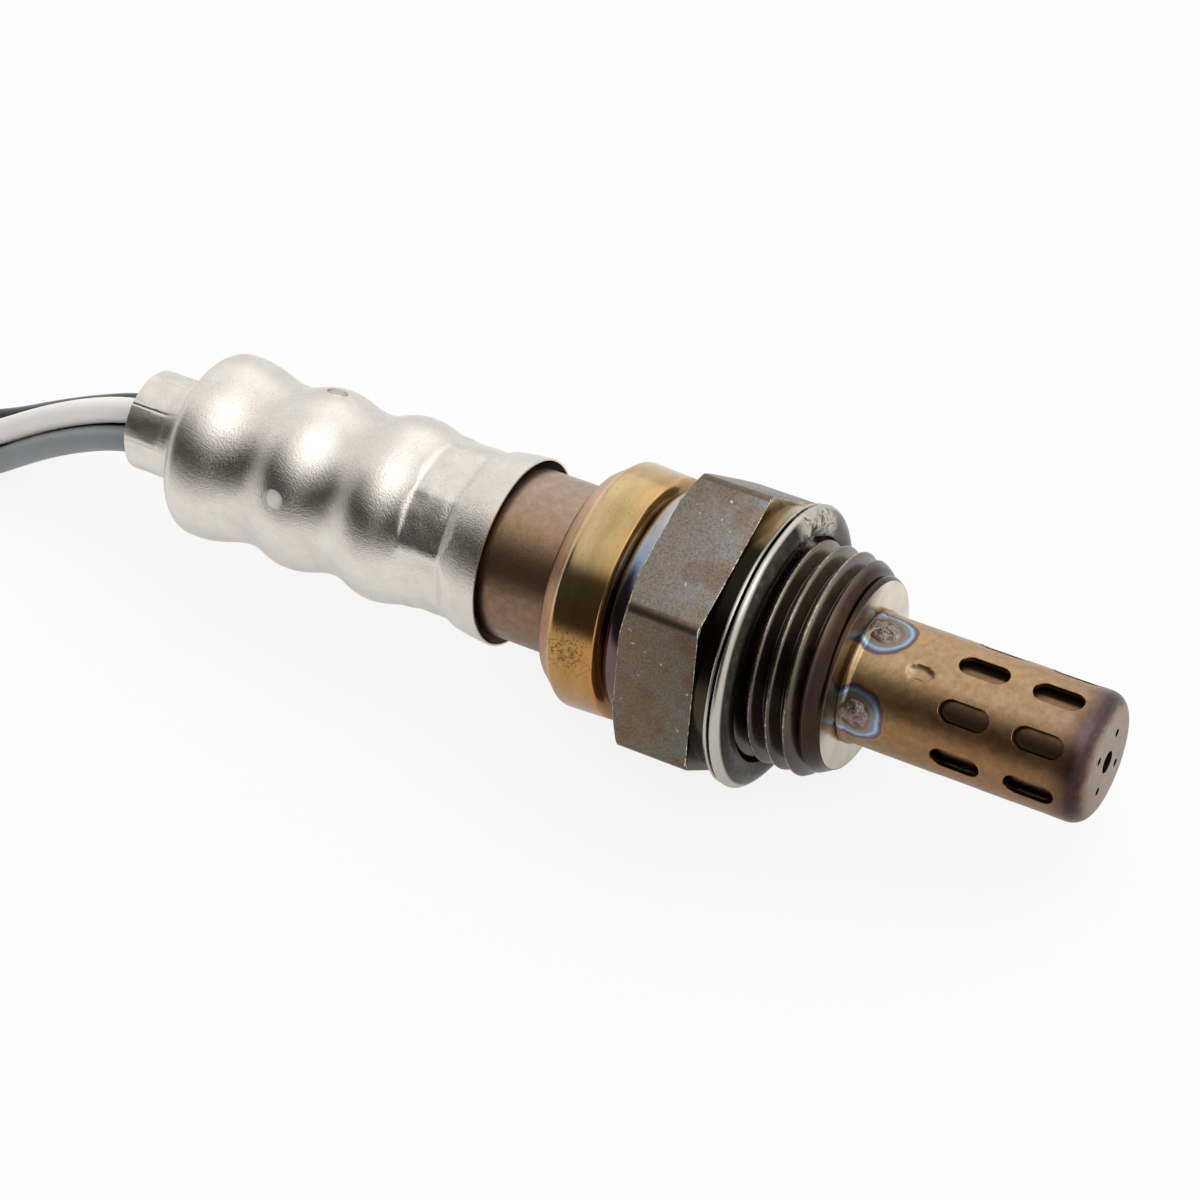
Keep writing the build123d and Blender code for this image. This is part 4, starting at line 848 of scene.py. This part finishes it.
# ---- stage ------------------------------------------------------------------------------------------
def make_floor():
    """Pale floor under the sensor: near white to the eye, greyer in reflections, with a faint shadow."""
    bm = bmesh.new()
    bmesh.ops.create_grid(bm, x_segments=1, y_segments=1, size=2.0)
    bmesh.ops.translate(bm, vec=(0, 0, FLOOR * MM), verts=bm.verts)
    floor = put_in_scene(bm, "floor")
    material = bpy.data.materials.new("pale_floor")
    material.use_nodes = True
    tree = material.node_tree
    tree.nodes.clear()
    ray = add(tree, "LightPath")
    mirrored, through = ray.outputs["Is Glossy Ray"], ray.outputs["Is Transmission Ray"]
    shine = add(tree, "Math", {0: mirrored, 1: through}, operation="MAXIMUM")
    faint = add(tree, "Math", {0: shine, 1: 0.45}, operation="MULTIPLY")
    part = add(tree, "Math", {0: ray.outputs["Is Camera Ray"], 1: 0.86, 2: faint}, operation="MULTIPLY_ADD")
    matt = add(tree, "BsdfDiffuse", {"Color": "#F2F2F2"})
    glow = add(tree, "Emission", {"Color": "#FFFFFF", "Strength": 1.0})
    mixed = add(tree, "MixShader", {0: part, 1: matt, 2: glow})
    add(tree, "OutputMaterial", {"Surface": mixed})
    floor.data.materials.append(material)


def light_scene():
    """Bright tent: a softbox over the tip side, a lit wall on the far side, a dark room on the near side."""
    smooth = {"interpolation_type": "SMOOTHSTEP"}
    world = bpy.data.worlds.new("tent")
    bpy.context.scene.world = world
    world.use_nodes = True
    tree = world.node_tree
    tree.nodes.clear()
    way = add(tree, "TexCoord")
    part = add(tree, "SeparateXYZ", {0: way.outputs["Generated"]})
    rise = add(tree, "Math", {0: part.outputs["Z"]}, operation="ARCSINE")
    around = add(tree, "Math", {0: part.outputs["Y"], 1: part.outputs["X"]}, operation="ARCTAN2")
    # The dark room, by its distance round from its middle and by its foot and head.
    room_way = radians(-118)
    off = add(tree, "Math", {0: around, 1: room_way}, operation="SUBTRACT")
    turn = add(tree, "Math", {0: off, 1: -pi, 2: pi}, operation="WRAP")
    span = add(tree, "Math", {0: turn}, operation="ABSOLUTE")
    wide = add(tree, "MapRange", {0: span, 1: radians(44), 2: radians(76), 3: 1.0, 4: 0.0}, **smooth)
    foot = add(tree, "MapRange", {0: rise, 1: radians(2), 2: radians(16)}, **smooth)
    head = add(tree, "MapRange", {0: rise, 1: radians(58), 2: radians(73), 3: 1.0, 4: 0.0}, **smooth)
    band = add(tree, "Math", {0: foot, 1: head}, operation="MULTIPLY")
    room = add(tree, "Math", {0: band, 1: wide}, operation="MULTIPLY")
    # The softbox, by its angle from its middle.
    box_way, box_rise = radians(30), radians(65)
    box = Vector((cos(box_rise) * cos(box_way), cos(box_rise) * sin(box_way), sin(box_rise)))
    near = add(tree, "VectorMath", {0: way.outputs["Generated"], 1: box}, operation="DOT_PRODUCT")
    soft = add(tree, "MapRange", {
        0: near.outputs["Value"], 1: cos(radians(36)), 2: cos(radians(10)), 3: 0.98, 4: 2.4,
    }, **smooth)
    # The lit wall, low down on the side away from the room.
    flank = add(tree, "MapRange", {0: span, 1: radians(112), 2: radians(146)}, **smooth)
    brow = add(tree, "MapRange", {0: rise, 1: radians(28), 2: radians(46), 3: 0.45, 4: 0.0}, **smooth)
    wall = add(tree, "Math", {0: flank, 1: brow, 2: soft}, operation="MULTIPLY_ADD")
    tent = add(tree, "MixRGB", {0: room, 1: wall, 2: "#413C37"})
    ray = add(tree, "LightPath")
    seen = add(tree, "MixRGB", {0: ray.outputs["Is Camera Ray"], 1: tent, 2: "#FFFFFF"})
    back = add(tree, "Background", {"Color": seen, "Strength": 1.0})
    add(tree, "OutputWorld", {"Surface": back})


# ---- making -----------------------------------------------------------------------------------------
set_camera()
# After its two tones a plain finish has metallic, roughness, and grain size and bump depth in millimetres.
white_wire = plain_finish("white_lead_insulation", "#F0ECE5", "#F5F2EC", 0.0, 0.34, 3.0, 0.004)
grey_wire = plain_finish("grey_lead_insulation", "#868B8C", "#8F9495", 0.0, 0.32, 3.0, 0.004)
black_wire = plain_finish("black_lead_insulation", "#141518", "#1C1D22", 0.0, 0.32, 3.0, 0.004)
make_lead("white", white_wire)
make_lead("grey", grey_wire)
make_lead("black_1", black_wire)
make_lead("black_2", black_wire)

make_sleeve(drawn_stainless())
tube_finish = browned_tube()
make_tube_shoulder(tube_finish)
thread_finish = scaled_thread()
# The chamfer's finish of painted shade also covers the flange and the hexagon's front faces.
shade_painted_finish = shade_painted_chamfer()
make_body_turning(tempered_collar(), thread_finish, faced_steel(), shade_painted_finish)
browned_corner = plain_finish("browned_corner_steel", "#5C4E42", "#77675A", 1.0, 0.4, 0.5, 0.03)
make_hexagon(scaled_hexagon(), worn_edge(), shade_painted_finish, browned_corner)
make_thread(thread_finish)
make_gasket(pressed_gasket())
make_shield(bronzed_shield(), plain_finish("dark_tube_wall", "#3C2E20", "#5A4632", 1.0, 0.35, 0.5, 0.02))

ceramic = plain_finish("fired_alumina", "#DAD5CB", "#EAE6DE", 0.0, 0.5, 0.6, 0.02)
steel = plain_finish("stamped_steel", "#8E8B87", "#ABA8A3", 1.0, 0.38, 0.8, 0.01)
plastic = plain_finish("moulded_black_polyamide", "#17181A", "#222326", 0.0, 0.5, 0.3, 0.02)
FINISHES = {
    "inner_protection_tube": plain_finish("bronzed_inner_tube", "#6A523E", "#866A50", 1.0, 0.3, 1.2, 0.01),
    "sensing_element": plain_finish("fired_zirconia", "#C9C2B2", "#DCD6C8", 0.0, 0.45, 0.8, 0.01),
    "heater_rod": ceramic,
    "packing_ring": steel,
    "talc_seal": plain_finish("pressed_talc", "#C2BEB4", "#D5D1C8", 0.0, 0.8, 0.3, 0.03),
    "ceramic_bushing": ceramic,
    "pressure_ring": steel,
    "inner_sleeve_tube": tube_finish,
    "breather_filter": plain_finish("porous_ptfe", "#DEDEDC", "#F0F0EE", 0.0, 0.7, 0.15, 0.03),
    "wire_grommet": plain_finish("moulded_grommet_rubber", "#1A1918", "#262523", 0.0, 0.65, 0.4, 0.02),
    "contact_holder": ceramic,
    "holder_clip": steel,
    "hank_tie": plain_finish("vinyl_strap", "#18181A", "#26262A", 0.0, 0.45, 0.8, 0.01),
    "plug_housing": plastic,
    "plug_rear_cover": plain_finish("moulded_grey_cover", "#2C2D30", "#3A3B3E", 0.0, 0.5, 0.3, 0.02),
    "plug_wire_seal": plain_finish("red_silicone_seal", "#7E2F22", "#97402F", 0.0, 0.5, 0.5, 0.01),
    "plug_terminal_lock": plain_finish("moulded_light_grey_lock", "#9C9DA0", "#B0B1B4", 0.0, 0.5, 0.3, 0.02),
}
contact_metal = plain_finish("nickelled_contact_strip", "#A8A49A", "#C2BEB4", 1.0, 0.3, 0.5, 0.01)
pin_metal = plain_finish("tinned_brass_pin", "#B4AF9E", "#CBC6B6", 1.0, 0.28, 0.5, 0.005)
for lead in LEADS:
    FINISHES[f"contact_{lead}"] = contact_metal
    FINISHES[f"plug_pin_{lead}"] = pin_metal
for node, finish in FINISHES.items():
    nodes[node].data.materials.clear()
    nodes[node].data.materials.append(finish)

make_floor()
light_scene()
bpy.context.scene.view_settings.view_transform = "Standard"
